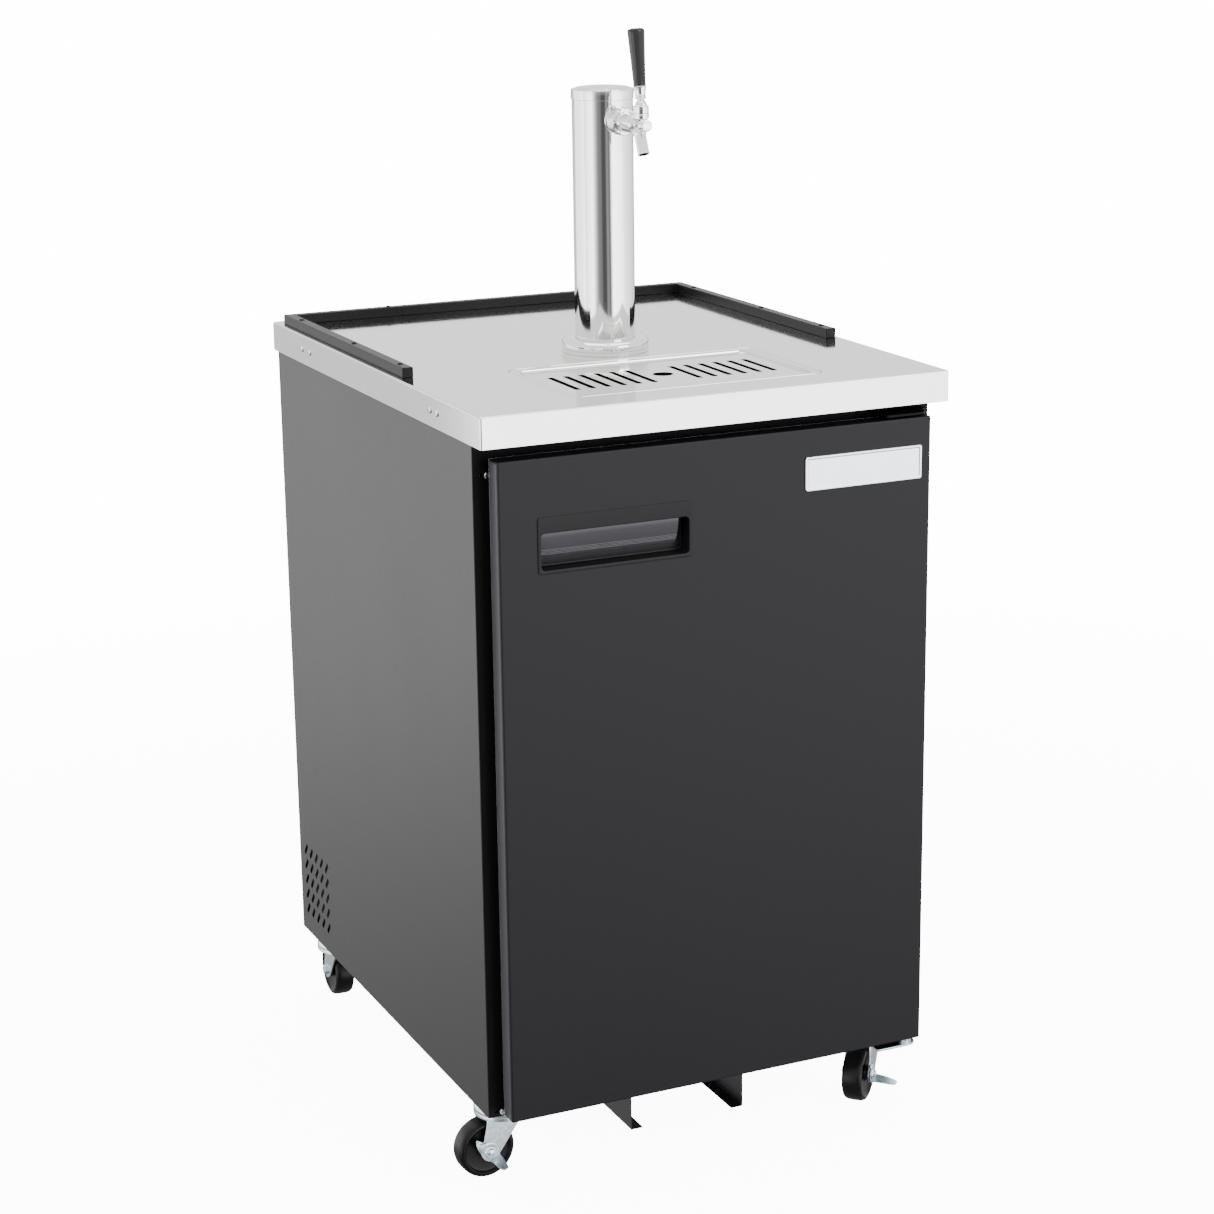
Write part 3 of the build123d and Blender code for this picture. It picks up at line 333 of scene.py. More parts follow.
def coated(slot, dark, light, smooth, rough, bump, depth, gloss):
    """Paint or powder coat: fine bumps, uneven shine, and dust that dulls it in patches."""
    coat = Finish(slot, gloss=gloss)
    peel = coat.noise(bump, detail=2.0)
    cloud = coat.noise(4.5, detail=4.0)
    dust = coat.contrast(coat.noise(60.0, detail=5.0, rough=0.7), 0.5, 0.8)
    coat.feed("Base Color", coat.tint(dark, light, cloud * 0.7 + dust * 0.3))
    coat.feed("Roughness", coat.between(smooth, rough, cloud * 0.5 + peel * 0.3 + dust * 0.2))
    return coat.relief(peel, depth)


print("finish makers ready")

# %% [markdown]
# The metals differ in how they were finished. The worktop is brushed from side to side, the tower
# is drawn and polished upwards, the tap is chromed and nearly a mirror, and the casters are
# zinc plated, which leaves a bluish, cloudy grey. Each entry gives a dark and a light colour, the
# smoothest and the roughest it gets, and how the grain is drawn out along x, y and z.

# %% Metals
EVEN = (1, 1, 1)
METALS = [
    ("worktop_steel", (0.66, 0.66, 0.65), (0.70, 0.70, 0.69),
     0.06, 0.12, (0.02, 1, 1), 900.0, 0.0015),
    ("tower_steel", (0.72, 0.715, 0.71), (0.80, 0.795, 0.79),
     0.045, 0.085, (1, 1, 0.01), 500.0, 0.002),
    ("tap_chrome", (0.78, 0.78, 0.79), (0.85, 0.85, 0.86),
     0.04, 0.09, EVEN, 160.0, 0.002),
    ("bright_fasteners", (0.62, 0.62, 0.63), (0.78, 0.78, 0.79),
     0.14, 0.28, EVEN, 900.0, 0.01),
    ("zinc_plate", (0.50, 0.58, 0.62), (0.76, 0.84, 0.88),
     0.18, 0.34, EVEN, 180.0, 0.012),
    ("liner_aluminium", (0.62, 0.63, 0.64), (0.74, 0.75, 0.76),
     0.28, 0.44, (1, 1, 0.02), 500.0, 0.012),
    ("badge_silver", (0.72, 0.74, 0.79), (0.78, 0.80, 0.85),
     0.26, 0.34, (0.02, 1, 1), 1200.0, 0.001),
]
for entry in METALS:
    worn_metal(*entry)
print("metals", sorted(FINISHES))

# %% [markdown]
# The coats are nearly black, so their colour says little and their shine says almost everything:
# the last number of each entry is how strongly the coat reflects. The door's coat leans to blue and
# the cabinet's to brown, as two batches of powder do. Foam and rubber are dull and coarse.

# %% Coats and plastics
COATS = [
    ("cabinet_black", (0.0055, 0.0052, 0.0050), (0.0100, 0.0096, 0.0093),
     0.36, 0.48, 700.0, 0.012, 0.37),
    ("door_black", (0.0052, 0.0050, 0.0070), (0.0080, 0.0077, 0.0104),
     0.34, 0.42, 900.0, 0.008, 0.17),
    ("frame_black", (0.0018, 0.0018, 0.0018), (0.0035, 0.0035, 0.0035),
     0.45, 0.60, 700.0, 0.03, 0.10),
    ("rail_black", (0.0030, 0.0030, 0.0032), (0.0060, 0.0060, 0.0064),
     0.36, 0.48, 700.0, 0.014, 0.14),
    ("compressor_black", (0.004, 0.004, 0.004), (0.009, 0.009, 0.009),
     0.25, 0.45, 300.0, 0.03, 0.5),
    ("handle_gloss_black", (0.0020, 0.0020, 0.0022), (0.0035, 0.0035, 0.0038),
     0.10, 0.16, 90.0, 0.001, 0.40),
    ("black_plastic", (0.003, 0.003, 0.003), (0.007, 0.007, 0.007),
     0.42, 0.60, 1200.0, 0.012, 0.30),
    ("pocket_black", (0.0045, 0.0045, 0.0054), (0.0075, 0.0075, 0.0088),
     0.34, 0.44, 1200.0, 0.008, 0.16),
    ("grip_grey", (0.042, 0.042, 0.048), (0.060, 0.060, 0.067),
     0.26, 0.36, 1400.0, 0.006, 0.30),
    ("wheel_rubber", (0.0022, 0.0022, 0.0022), (0.0075, 0.0072, 0.0070),
     0.24, 0.50, 420.0, 0.02, 0.18),
    ("gasket_rubber", (0.0015, 0.0015, 0.0015), (0.0035, 0.0035, 0.0035),
     0.55, 0.75, 800.0, 0.02, 0.12),
    ("foam_core", (0.30, 0.24, 0.12), (0.44, 0.37, 0.20),
     0.80, 0.95, 350.0, 0.3, 0.5),
]
for entry in COATS:
    coated(*entry)
print("finishes", len(FINISHES))

# %% [markdown]
# ## Making a piece
# Two ways of making a surface cover nearly everything here. A stack of loops, each with the same
# number of points, is skinned with quads: that gives folded sheet, turned metal and moulded rims,
# with every bend rounded where the real one is. A cut sheet is a flat outline with holes, and
# its edges are rounded all the way round, like metal that has been through a deburring wheel.

# %% A pattern of points and faces
def circle(radius, steps, cx=0.0, cy=0.0):
    """Points round a circle."""
    angles = [2 * math.pi * i / steps for i in range(steps)]
    return [(cx + radius * math.cos(a), cy + radius * math.sin(a)) for a in angles]


NEEDLE = 0.02  # the smallest radius of a turning, in millimetres
MERGE_UNDER = 1e-6  # points closer than this are one point, in metres


def square_to(direction):
    """The turn that takes an upright piece to a direction."""
    return Vector((0, 0, 1)).rotation_difference(Vector(direction)).to_matrix()


class Pattern:
    """The points and faces of one piece, in millimetres, gathered before its mesh is made."""

    def __init__(self):
        self.points, self.faces = [], []

    def skin(self, loops, first=False, last=False, ring=False):
        """Quads between neighbouring loops; the first and the last may be closed with a face."""
        start, count = len(self.points), len(loops[0])
        for loop in loops:
            self.points += [tuple(p) for p in loop]
        rows = [start + i * count for i in range(len(loops))]
        for a, b in list(zip(rows, rows[1:])) + ([(rows[-1], rows[0])] if ring else []):
            for j in range(count):
                k = (j + 1) % count
                self.faces.append((a + j, a + k, b + k, b + j))
        if first:
            self.faces.append(tuple(start + j for j in reversed(range(count))))
        if last:
            self.faces.append(tuple(rows[-1] + j for j in range(count)))
        return self

    def add(self, points, faces):
        start = len(self.points)
        self.points += [tuple(p) for p in points]
        self.faces += [tuple(start + i for i in f) for f in faces]
        return self

    def move(self, matrix, start=0):
        moved = [tuple(matrix @ Vector(p)) for p in self.points[start:]]
        self.points[start:] = moved
        return self

    def turn(self, profile, origin=(0, 0, 0), direction=(0, 0, 1), steps=96):
        """Turned metal: radius and distance pairs, spun round a line."""
        turned = square_to(direction)
        loops = []
        for r, h in profile:
            ring = circle(max(r, NEEDLE), steps)
            loops.append([turned @ Vector((x, y, h)) + Vector(origin) for x, y in ring])
        closed = profile[0] != profile[-1]
        return self.skin(loops, first=closed, last=closed)

    def piece(self, name, body, slot, nodes=(), sharp=32):
        """Makes the mesh, gives it its finish, and hangs it on the body that it moves with."""
        mesh = bpy.data.meshes.new(name)
        mesh.from_pydata([tuple(c * MM for c in p) for p in self.points], [], self.faces)
        tidy = bmesh.new()
        tidy.from_mesh(mesh)
        bmesh.ops.remove_doubles(tidy, verts=tidy.verts, dist=MERGE_UNDER)
        bmesh.ops.recalc_face_normals(tidy, faces=tidy.faces)
        tidy.to_mesh(mesh)
        tidy.free()
        mesh.shade_smooth()
        mesh.set_sharp_from_angle(angle=math.radians(sharp))
        made = bpy.data.objects.new(name, mesh)
        scene.collection.objects.link(made)
        mesh.materials.append(FINISHES[slot].material)
        even = made.modifiers.new("even_normals", "WEIGHTED_NORMAL")
        even.keep_sharp = True
        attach(made, body)
        if nodes:
            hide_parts(*nodes)
        size = [round(d / MM, 1) for d in made.dimensions]
        print(f"{name}: {len(mesh.polygons)} faces, {size} mm")
        return made


# %% [markdown]
# A flat sheet starts as an outline: a rectangle, a slot with round ends, or any list of corners.
# Corners of real sheet are never sharp, so each kind of outline has a radius.

# %% Outlines
def corner_round(cx, cy, width, depth, radius, steps=6):
    """A rectangle with rounded corners, as points that start at the same corner every time."""
    radius = max(radius, 0.01)
    points = []
    for k, (sx, sy) in enumerate(((1, 1), (-1, 1), (-1, -1), (1, -1))):
        mx, my = cx + sx * (width / 2 - radius), cy + sy * (depth / 2 - radius)
        for i in range(steps + 1):
            a = math.pi / 2 * (k + i / steps)
            points.append((mx + radius * math.cos(a), my + radius * math.sin(a)))
    return points


def slot_shape(cx, cy, length, width, lean=90.0, steps=10):
    """A slot with round ends, its long side at an angle from the first axis."""
    a = math.radians(lean)
    half, r = (length - width) / 2, width / 2
    points = []
    for side in (0, 1):
        for i in range(steps + 1):
            t = a + math.pi * side - math.pi / 2 + math.pi * i / steps
            reach = half * (1 if side == 0 else -1)
            u, v = cx + reach * math.cos(a), cy + reach * math.sin(a)
            points.append((u + r * math.cos(t), v + r * math.sin(t)))
    return points


def softened(points, radius, steps=4):
    """Rounds each corner of an outline."""
    made = []
    for i, p in enumerate(points):
        here = Vector(p)
        back, on = Vector(points[i - 1]) - here, Vector(points[(i + 1) % len(points)]) - here
        r = min(radius, back.length * 0.45, on.length * 0.45)
        a, b = here + back.normalized() * r, here + on.normalized() * r
        for k in range(steps + 1):
            t = k / steps
            made.append(tuple(a * (1 - t) ** 2 + here * 2 * t * (1 - t) + b * t ** 2))
    return made


FLAT = {
    "top": lambda u, v, h: (u, v, h),
    "front": lambda u, v, h: (u, h, v),
    "side": lambda u, v, h: (h, u, v),
}


def laid(points, height, plane):
    """Puts a flat outline at a height in one of the three main planes."""
    return [FLAT[plane](u, v, height) for u, v in points]


def bend(radius, steps=6):
    """A quarter bend from the side of a sheet to its face, as pairs of inset and drop."""
    for i in range(steps + 1):
        a = math.pi / 2 * i / steps
        yield radius * (1 - math.cos(a)), radius * (1 - math.sin(a))


# %% [markdown]
# Blender's curves fill an outline with its holes and round every edge in one go, which is what a
# punched and deburred sheet needs. The filled curve is taken over as points and faces.

# %% Cut sheets
def cut_sheet(pattern, outlines, low, high, plane, edge=0.4):
    """A flat sheet with holes, and a small round on every edge."""
    curve = bpy.data.curves.new("outline", "CURVE")
    curve.dimensions = "2D"
    curve.fill_mode = "BOTH"
    thick = high - low
    edge = min(edge, thick * 0.49)
    curve.extrude = thick / 2 - edge
    curve.bevel_depth = edge
    curve.bevel_resolution = 2
    curve.offset = -edge
    for outline in outlines:
        line = curve.splines.new("POLY")
        line.points.add(len(outline) - 1)
        for point, (u, v) in zip(line.points, outline):
            point.co = (u, v, 0, 1)
        line.use_cyclic_u = True
    holder = bpy.data.objects.new("outline", curve)
    scene.collection.objects.link(holder)
    bpy.context.view_layer.update()
    ready = holder.evaluated_get(bpy.context.evaluated_depsgraph_get())
    solid = bpy.data.meshes.new_from_object(ready)
    middle = (low + high) / 2
    points = [FLAT[plane](p.co.x, p.co.y, p.co.z + middle) for p in solid.vertices]
    pattern.add(points, [tuple(f.vertices) for f in solid.polygons])
    bpy.data.objects.remove(holder)
    bpy.data.meshes.remove(solid)
    return pattern


def screw_head(pattern, origin, direction, radius, height, turn=0.0):
    """A pan head with a cross recess, turned by any angle so that no two heads look the same."""
    turned, steps = square_to(direction), 24

    def ring(r, h):
        return [(x, y, h) for x, y in circle(r, steps)]

    def cross(r, h):
        made = []
        for i in range(steps):
            a = 2 * math.pi * i / steps + turn
            reach = r if i % 6 in (0, 1, 5) else r * 0.42
            made.append((reach * math.cos(a), reach * math.sin(a), h))
        return made

    loops = [ring(radius, -0.2), ring(radius, height * 0.35), ring(radius * 0.93, height * 0.72)]
    loops += [ring(radius * 0.75, height * 0.94), cross(radius * 0.55, height)]
    loops += [cross(radius * 0.40, height * 0.45)]
    placed = [[turned @ Vector(p) + Vector(origin) for p in loop] for loop in loops]
    return pattern.skin(placed, first=True, last=True)


print("pattern helpers ready")

# %% [markdown]
# ## The worktop
# A stainless sheet is folded down on all four sides, with a bend of about two millimetres, and
# the corners are welded and ground round. The opening for the drip tray is pressed down first, so
# its rim rolls over instead of ending in a cut edge. One stack of loops follows the sheet from
# the inside of the apron, over the bend, across the top and down into the opening.

# %% Worktop sheet
x0, x1, y0, y1, apron_low, top = span("worktop")
tray_x0, tray_x1, tray_y0, tray_y1 = span("drip_pan")[:4]
tray_w, tray_d = tray_x1 - tray_x0, tray_y1 - tray_y0
tray_x, tray_y = (tray_x0 + tray_x1) / 2, (tray_y0 + tray_y1) / 2
TRAY_CORNER = 14
top_w, top_d = x1 - x0, y1 - y0
mid_x, mid_y = (x0 + x1) / 2, (y0 + y1) / 2


def round_box_loop(cx, cy, width, depth, radius, height, steps=8):
    return laid(corner_round(cx, cy, width, depth, radius, steps), height, "top")


def tray_loops(width, depth, table):
    """Loops round the tray's middle: how much wider, the corner radius and the height of each."""
    return [round_box_loop(tray_x, tray_y, width + w, depth + w, r, z) for w, r, z in table]


BEND = 2.4
turned_in = [
    (2.4, 1.5, top - 1.4), (2.4, 1.5, apron_low + 0.3), (1.8, 1.8, apron_low),
    (0.5, 2.4, apron_low), (0.0, 2.6, apron_low + 0.4),
]
turned_in += [(2 * inset, 2.7, top - drop) for inset, drop in bend(BEND)]
loops = [round_box_loop(mid_x, mid_y, top_w - cut, top_d - cut, r, z) for cut, r, z in turned_in]
rim = ((10.0, 0.0), (2.6, 0.0), (1.9, -0.1), (1.5, -0.5), (1.4, -1.2), (1.3, -3.0))
rolled = [(2 * grow, TRAY_CORNER + grow, top + rise) for grow, rise in rim]
loops += tray_loops(tray_w, tray_d, rolled)
sheet = Pattern().skin(loops)
sheet.piece("worktop_sheet", "cabinet", "worktop_steel", ["worktop"])

# %% [markdown]
# The tray is a second pressing that hangs in the opening. Its rim slopes down to a narrow ledge
# that carries the grille, then drops to the pan and its drain.

# %% Drip pan
pan_low, pan_top = span("drip_pan")[4:]
grille_x0, grille_x1, grille_y0, grille_y1, grille_low, grille_top = span("drip_grille")
grille_w, grille_d = grille_x1 - grille_x0, grille_y1 - grille_y0
pan_loops = tray_loops(tray_w, tray_d, [
    (1.2, 14.6, pan_top - 2.6), (0.8, 14.4, pan_top - 0.6), (0.2, 14.0, pan_top),
    (-2.6, 13.2, pan_top), (-3.6, 12.8, pan_top - 0.4),
])
pan_loops += tray_loops(grille_w, grille_d, [
    (13.0, 11.6, pan_top - 1.0), (11.4, 11.2, pan_top - 1.3), (9.8, 10.8, grille_top + 0.5),
    (8.8, 10.4, grille_top), (4.0, 9.2, grille_top), (2.4, 8.8, grille_top - 0.3),
    (1.4, 8.4, grille_low - 0.1), (-9.0, 7.5, grille_low - 0.1), (-11.0, 7.0, grille_low - 1.0),
    (-12.0, 6.5, grille_low - 2.5),
])
Pattern().skin(pan_loops).piece("drip_pan_rim", "cabinet", "worktop_steel", ["drip_pan"])

# %% [markdown]
# Below the ledge the pan is lined with a dark tub. It is what is seen through the slots, and it
# is a stack of loops that ends in a flat floor.

# %% Drip tub
tub_loops = tray_loops(grille_w, grille_d, [
    (-12.4, 6.4, grille_low - 0.6), (-12.6, 6.3, grille_low - 3.5), (-14.0, 6.0, pan_low + 4.0),
    (-18.0, 5.0, pan_low + 1.6), (-26.0, 4.0, pan_low + 1.0),
])
tub = Pattern().skin(tub_loops, last=True)
tub.piece("drip_tub", "cabinet", "black_plastic", ["drip_pan"])

# %% [markdown]
# The grille is the same sheet again, punched with two banks of slots and a round finger hole.

# %% Drip grille
SLOT_FIRST, SLOT_PITCH, SLOT_LENGTH, SLOT_WIDTH, SLOTS_A_BANK = 30.0, 20.2, 88, 8.0, 6
FINGER_HOLE_R, PLATE = 12.7, 0.9
bank_y = tray_y + 4
outlines = [corner_round(tray_x, tray_y, grille_w, grille_d, 7.5, 6)]
for side in (-1, 1):
    for i in range(SLOTS_A_BANK):
        slot_x = side * (SLOT_FIRST + SLOT_PITCH * i)
        outlines.append(slot_shape(slot_x, bank_y, SLOT_LENGTH, SLOT_WIDTH))
outlines.append(circle(FINGER_HOLE_R, 48, 0, bank_y))
grille = cut_sheet(Pattern(), outlines, grille_top - PLATE, grille_top, "top", 0.2)
grille.piece("drip_grille_plate", "drip_grille", "worktop_steel", ["drip_grille"])

# %% [markdown]
# ## The guard rail
# A square black bar runs round three sides of the worktop so that glasses can't slide off. It is
# one outline with softened edges; its ends are cut square.

# %% Guard rail
rx0, rx1, ry0, ry1, rail_low, rail_high = span("guard_rail")
BAR = 14.0
bars = [
    (rx0, ry0), (rx0 + BAR, ry0), (rx0 + BAR, ry1 - BAR), (rx1 - BAR, ry1 - BAR),
    (rx1 - BAR, ry0), (rx1, ry0), (rx1, ry1), (rx0, ry1),
]
rail = cut_sheet(Pattern(), [softened(bars, 1.2)], rail_low, rail_high, "top", 1.1)
rail.piece("guard_rail_bar", "cabinet", "rail_black", ["guard_rail"])

# %% [markdown]
# Small pan head screws hold the rail down and the apron to the cabinet. One maker gives every
# head its dome and its cross recess, and each is turned by its own angle, as screws are.

# %% Rail and apron screws
rail_heads = Pattern()
for x in (rx0 + BAR / 2, rx1 - BAR / 2):
    for y in (-80.0, 85.0, 290.0):
        screw_head(rail_heads, (x, y, rail_high), (0, 0, 1), 3.4, 1.4, y)
for x in (-150.0, 150.0):
    screw_head(rail_heads, (x, ry1 - BAR / 2, rail_high), (0, 0, 1), 3.4, 1.4, x)
rail_heads.piece("rail_screw_heads", "cabinet", "rail_black", ["rail_screws"])

APRON_SCREWS_Y, APRON_SCREW_DROP = (248.5, 218.0, -216.2, -238.7), 18.8
apron_heads = Pattern()
for side in (-1, 1):
    for y in APRON_SCREWS_Y:
        spot = (side * x1, y, top - APRON_SCREW_DROP)
        screw_head(apron_heads, spot, (side, 0, 0), 4.0, 2.0, y)
apron_heads.piece("apron_screw_heads", "cabinet", "bright_fasteners", ["worktop_screws"])

# %% [markdown]
# ## The tower
# Three turned pieces of polished stainless: a floor flange with a rounded shoulder and a groove
# near its foot, the column, and a shallow domed cap whose skirt slips over the tube.

# %% Tower
fx0, fx1, fy0, fy1, flange_low = span("tower_flange")[:5]
axis_x, axis_y, flange_r = (fx0 + fx1) / 2, (fy0 + fy1) / 2, (fx1 - fx0) / 2
cx0, cx1, _, _, column_low, column_high = span("tower_column")
column_r = (cx1 - cx0) / 2
cap_low, cap_high = span("tower_cap")[4:]
flange_profile = [
    (column_r + 0.3, 0.2), (flange_r - 0.6, 0.0), (flange_r, 0.5), (flange_r, 4.4),
    (flange_r - 0.8, 4.9), (flange_r - 0.8, 5.5), (flange_r, 6.0), (flange_r, 10.6),
    (flange_r - 0.4, 12.4), (flange_r - 1.4, 14.2), (flange_r - 3.0, 15.8),
    (flange_r - 5.4, 17.0), (flange_r - 8.6, 17.8), (column_r + 1.6, 18.0),
    (column_r + 0.5, 17.6), (column_r + 0.3, 16.4),
]
flange = Pattern().turn(flange_profile, (axis_x, axis_y, flange_low), steps=128)
flange.piece("tower_floor_flange", "cabinet", "tower_steel", ["tower_flange"])

column_profile = [
    (column_r - 1.5, column_low), (column_r, column_low + 0.2), (column_r, column_low + 60),
    (column_r, column_high - 60), (column_r, column_high - 0.4), (column_r - 0.4, column_high),
    (column_r - 1.5, column_high), (column_r - 1.5, column_low),
]
column = Pattern().turn(column_profile, (axis_x, axis_y, 0), steps=160)
column.piece("tower_tube", "cabinet", "tower_steel", ["tower_column"])

skirt = column_r + 1.0
cap_profile = [
    (column_r + 0.15, cap_low + 0.4), (column_r + 0.5, cap_low), (skirt - 0.2, cap_low + 0.2),
    (skirt, cap_low + 0.8), (skirt, cap_high - 5.0), (skirt - 0.3, cap_high - 4.2),
    (skirt - 1.2, cap_high - 3.7), (skirt - 4.0, cap_high - 3.3), (skirt * 0.86, cap_high - 3.3),
    (skirt * 0.845, cap_high - 2.3), (skirt * 0.83, cap_high - 2.0),
    (skirt * 0.66, cap_high - 1.2), (skirt * 0.5, cap_high - 0.7), (skirt * 0.3, cap_high - 0.3),
    (0, cap_high),
]
cap_turning = Pattern().turn(cap_profile, (axis_x, axis_y, 0), steps=128)
cap_turning.piece("tower_domed_cap", "cabinet", "tower_steel", ["tower_cap"])

# %% [markdown]
# ## The tap
# Everything on the tap is brass turned on a lathe and chromed, so it is made of profiles too. The
# bright lines on it are the small grooves and shoulders that a lathe leaves, and they matter more
# than the exact radii. The coupling nut has scallops for a spanner.

# %% Shank and coupling nut
shank_z = (span("coupling_nut")[4] + span("coupling_nut")[5]) / 2
FORWARD = (0, -1, 0)


def along_tap(profile):
    """A turning on the tap's level centre line, measured out from the tower's axis."""
    return Pattern().turn(profile, (0, axis_y, shank_z), FORWARD, steps=96)


shank = along_tap([
    (0, 30), (11, 30), (11, 38.4), (13.6, 38.6), (14.6, 39.6), (14.6, 41.0), (13.2, 41.6),
    (13.2, 42.6), (13.8, 43.2), (13.8, 46.0), (12.0, 46.8), (11.0, 47.2), (11.0, 57.6), (0, 57.6),
])
shank.piece("shank_collar", "cabinet", "tap_chrome", ["beer_shank"])

nut_front, nut_back = -span("coupling_nut")[2], -span("coupling_nut")[3]
SCALLOPS, SCALLOP_DEPTH, NUT_STEPS = 6, 1.6, 144
nut_rings = [
    (11.6, nut_front - 0.4), (11.6, nut_back + 0.4), (12.0, nut_back), (15.6, nut_back + 0.1),
    (16.8, nut_back + 1.2), (17.0, nut_back + 2.4), (17.0, nut_front - 2.4),
    (16.6, nut_front - 1.0), (15.4, nut_front - 0.1), (13.2, nut_front),
]
loops = []
for r, d in nut_rings:
    cut = SCALLOP_DEPTH if d > nut_back + 4 and r > 12.5 else 0.0
    loop = []
    for i in range(NUT_STEPS):
        a = 2 * math.pi * i / NUT_STEPS
        reach = r - max(0.0, math.cos(SCALLOPS * a)) ** 6 * cut
        loop.append((reach * math.cos(a), -d, shank_z + reach * math.sin(a)))
    loops.append(loop)
nut = Pattern().skin(loops, ring=True)
nut.piece("coupling_nut_turning", "cabinet", "tap_chrome", ["coupling_nut"])

# %% [markdown]
# The faucet's body is one casting: a level barrel that ends in a flat-nosed knob, a socket for the
# lever above, and a spout that leans forwards. Here it is four turnings along their own lines.

# %% Faucet body and spout
def ball(radius, steps):
    """The profile of a ball, from its near pole to its far one."""
    angles = [math.pi * i / steps for i in range(steps + 1)]
    return [(radius * math.sin(a), -radius * math.cos(a)) for a in angles]


tap_y = (span("lever_bonnet")[2] + span("lever_bonnet")[3]) / 2
body_turning = Pattern()
body_turning.turn([
    (0, 62), (12.6, 62), (12.6, 66.8), (13.4, 67.4), (13.4, 70.4), (12.4, 71.2), (11.6, 72.2),
    (11.6, 73.6), (12.4, 74.6), (12.5, 76.0), (12.5, 101.5), (12.1, 103.0), (11.0, 104.4),
    (9.6, 105.4), (8.0, 106.6), (7.6, 108.0), (0, 108.4),
], (0, axis_y, shank_z), FORWARD, steps=96)
KNOB_Y, KNOB_R, KNOB_SHOULDER = -163.5, 8.2, 3.6
front_knob = [(r, h) for r, h in ball(KNOB_R, 24) if h < KNOB_SHOULDER]
front_knob += [
    (7.0, 4.2), (6.7, 4.7), (7.1, 5.2), (7.1, 7.4), (6.7, 8.1), (5.6, 8.4), (4.9, 8.3),
    (4.6, 7.8), (4.2, 8.3), (0, 8.4),
]
body_turning.turn(front_knob, (0, KNOB_Y, shank_z), FORWARD, steps=64)
body_turning.turn([
    (0, 4), (9.4, 8), (9.5, 11.2), (9.9, 11.6), (9.9, 12.6), (9.5, 13.0), (9.5, 13.9), (0, 13.9),
], (0, tap_y, shank_z), steps=64)
LEAN, SPOUT_Y = math.radians(24), -146
spout_way = (0, -math.sin(LEAN), -math.cos(LEAN))
body_turning.turn([
    (0, 2), (7.4, 6), (8.2, 10.4), (8.0, 12.6), (7.4, 13.8), (7.2, 15.0), (7.2, 36.6),
    (7.5, 37.0), (7.5, 37.8), (7.1, 38.0), (5.7, 38.0), (5.6, 37.2), (5.6, 12.0), (0, 11.8),
], (0, SPOUT_Y, shank_z), spout_way, steps=64)
body_turning.piece("faucet_turning", "cabinet", "tap_chrome", ["faucet_body"])

# %% [markdown]
# The lever turns on a ball inside the bonnet. The bonnet is left open at the top, so that the
# lever's stem can tilt without cutting through it. The stem, its ball and the short finger that
# pushes the valve belong to the moving body, and so does the flared ferrule under the handle.

# %% Bonnet, lever and ferrule
bonnet_low, bonnet_high = span("lever_bonnet")[4:]
bonnet_rings = [
    (9.3, bonnet_low), (9.5, bonnet_low + 0.4), (9.5, bonnet_high - 3.4),
    (8.9, bonnet_high - 3.2), (8.9, bonnet_high - 2.6), (9.5, bonnet_high - 2.4),
    (9.5, bonnet_high - 0.9), (9.1, bonnet_high - 0.3), (8.4, bonnet_high),
    (7.7, bonnet_high - 0.2),
]
bonnet = Pattern().skin([laid(circle(r, 144, 0, tap_y), z, "top") for r, z in bonnet_rings])
bonnet.piece("lever_bonnet_turning", "cabinet", "tap_chrome", ["lever_bonnet"])

TILT = math.radians(8.2)
handle_way = (0, math.sin(TILT), math.cos(TILT))
PIVOT = (0, tap_y, bonnet_high)
lever = Pattern()
lever.turn(ball(7.5, 20), PIVOT, steps=64)
finger = [(0, 0), (2.0, -0.4), (2.0, -20.4), (2.5, -21.6), (2.5, -23.2), (1.6, -24.6), (0, -25.0)]
lever.turn(finger, PIVOT, steps=32)
lever.turn([(0, 0), (4.5, 0.5), (4.5, 34.0), (0, 34.0)], PIVOT, handle_way, steps=48)
lever.piece("lever_turning", "tap_lever", "tap_chrome", ["tap_lever"])

ferrule = Pattern().turn([
    (4.6, 7.6), (6.4, 7.7), (6.9, 8.3), (6.9, 9.8), (6.2, 10.3), (6.2, 10.8), (6.9, 11.2),
    (6.9, 11.9), (6.3, 12.4), (6.6, 15.0), (7.2, 18.0), (8.0, 21.2), (8.3, 22.0), (8.1, 22.6),
    (7.8, 22.7), (4.6, 22.7),
], PIVOT, handle_way, steps=96)
ferrule.piece("handle_ferrule", "tap_lever", "tap_chrome", ["tap_ferrule"])

# %% [markdown]
# The handle is a moulded knob in gloss black. It widens towards a rounded top, with a slight
# waist above the ferrule. Its length is that of the solid it stands for.

# %% Tap handle
HANDLE_END, WAIST_R, FLARE = 91.3, 7.6, 3.0
handle_profile = [(4.6, 22.9), (7.2, 22.9), (7.7, 23.4), (WAIST_R, 26.0)]
for i in range(1, 13):
    t = i / 12
    handle_profile.append((WAIST_R + FLARE * t ** 1.15, 26.0 + (HANDLE_END - 30.2) * t))
handle_profile += [
    (10.5, HANDLE_END - 2.8), (9.9, HANDLE_END - 1.6), (8.8, HANDLE_END - 0.7),
    (6.4, HANDLE_END - 0.2), (3.2, HANDLE_END), (0, HANDLE_END),
]
handle = Pattern().turn(handle_profile, PIVOT, handle_way, steps=96)
handle.piece("tap_handle_moulding", "tap_lever", "handle_gloss_black", ["tap_handle"], sharp=50)
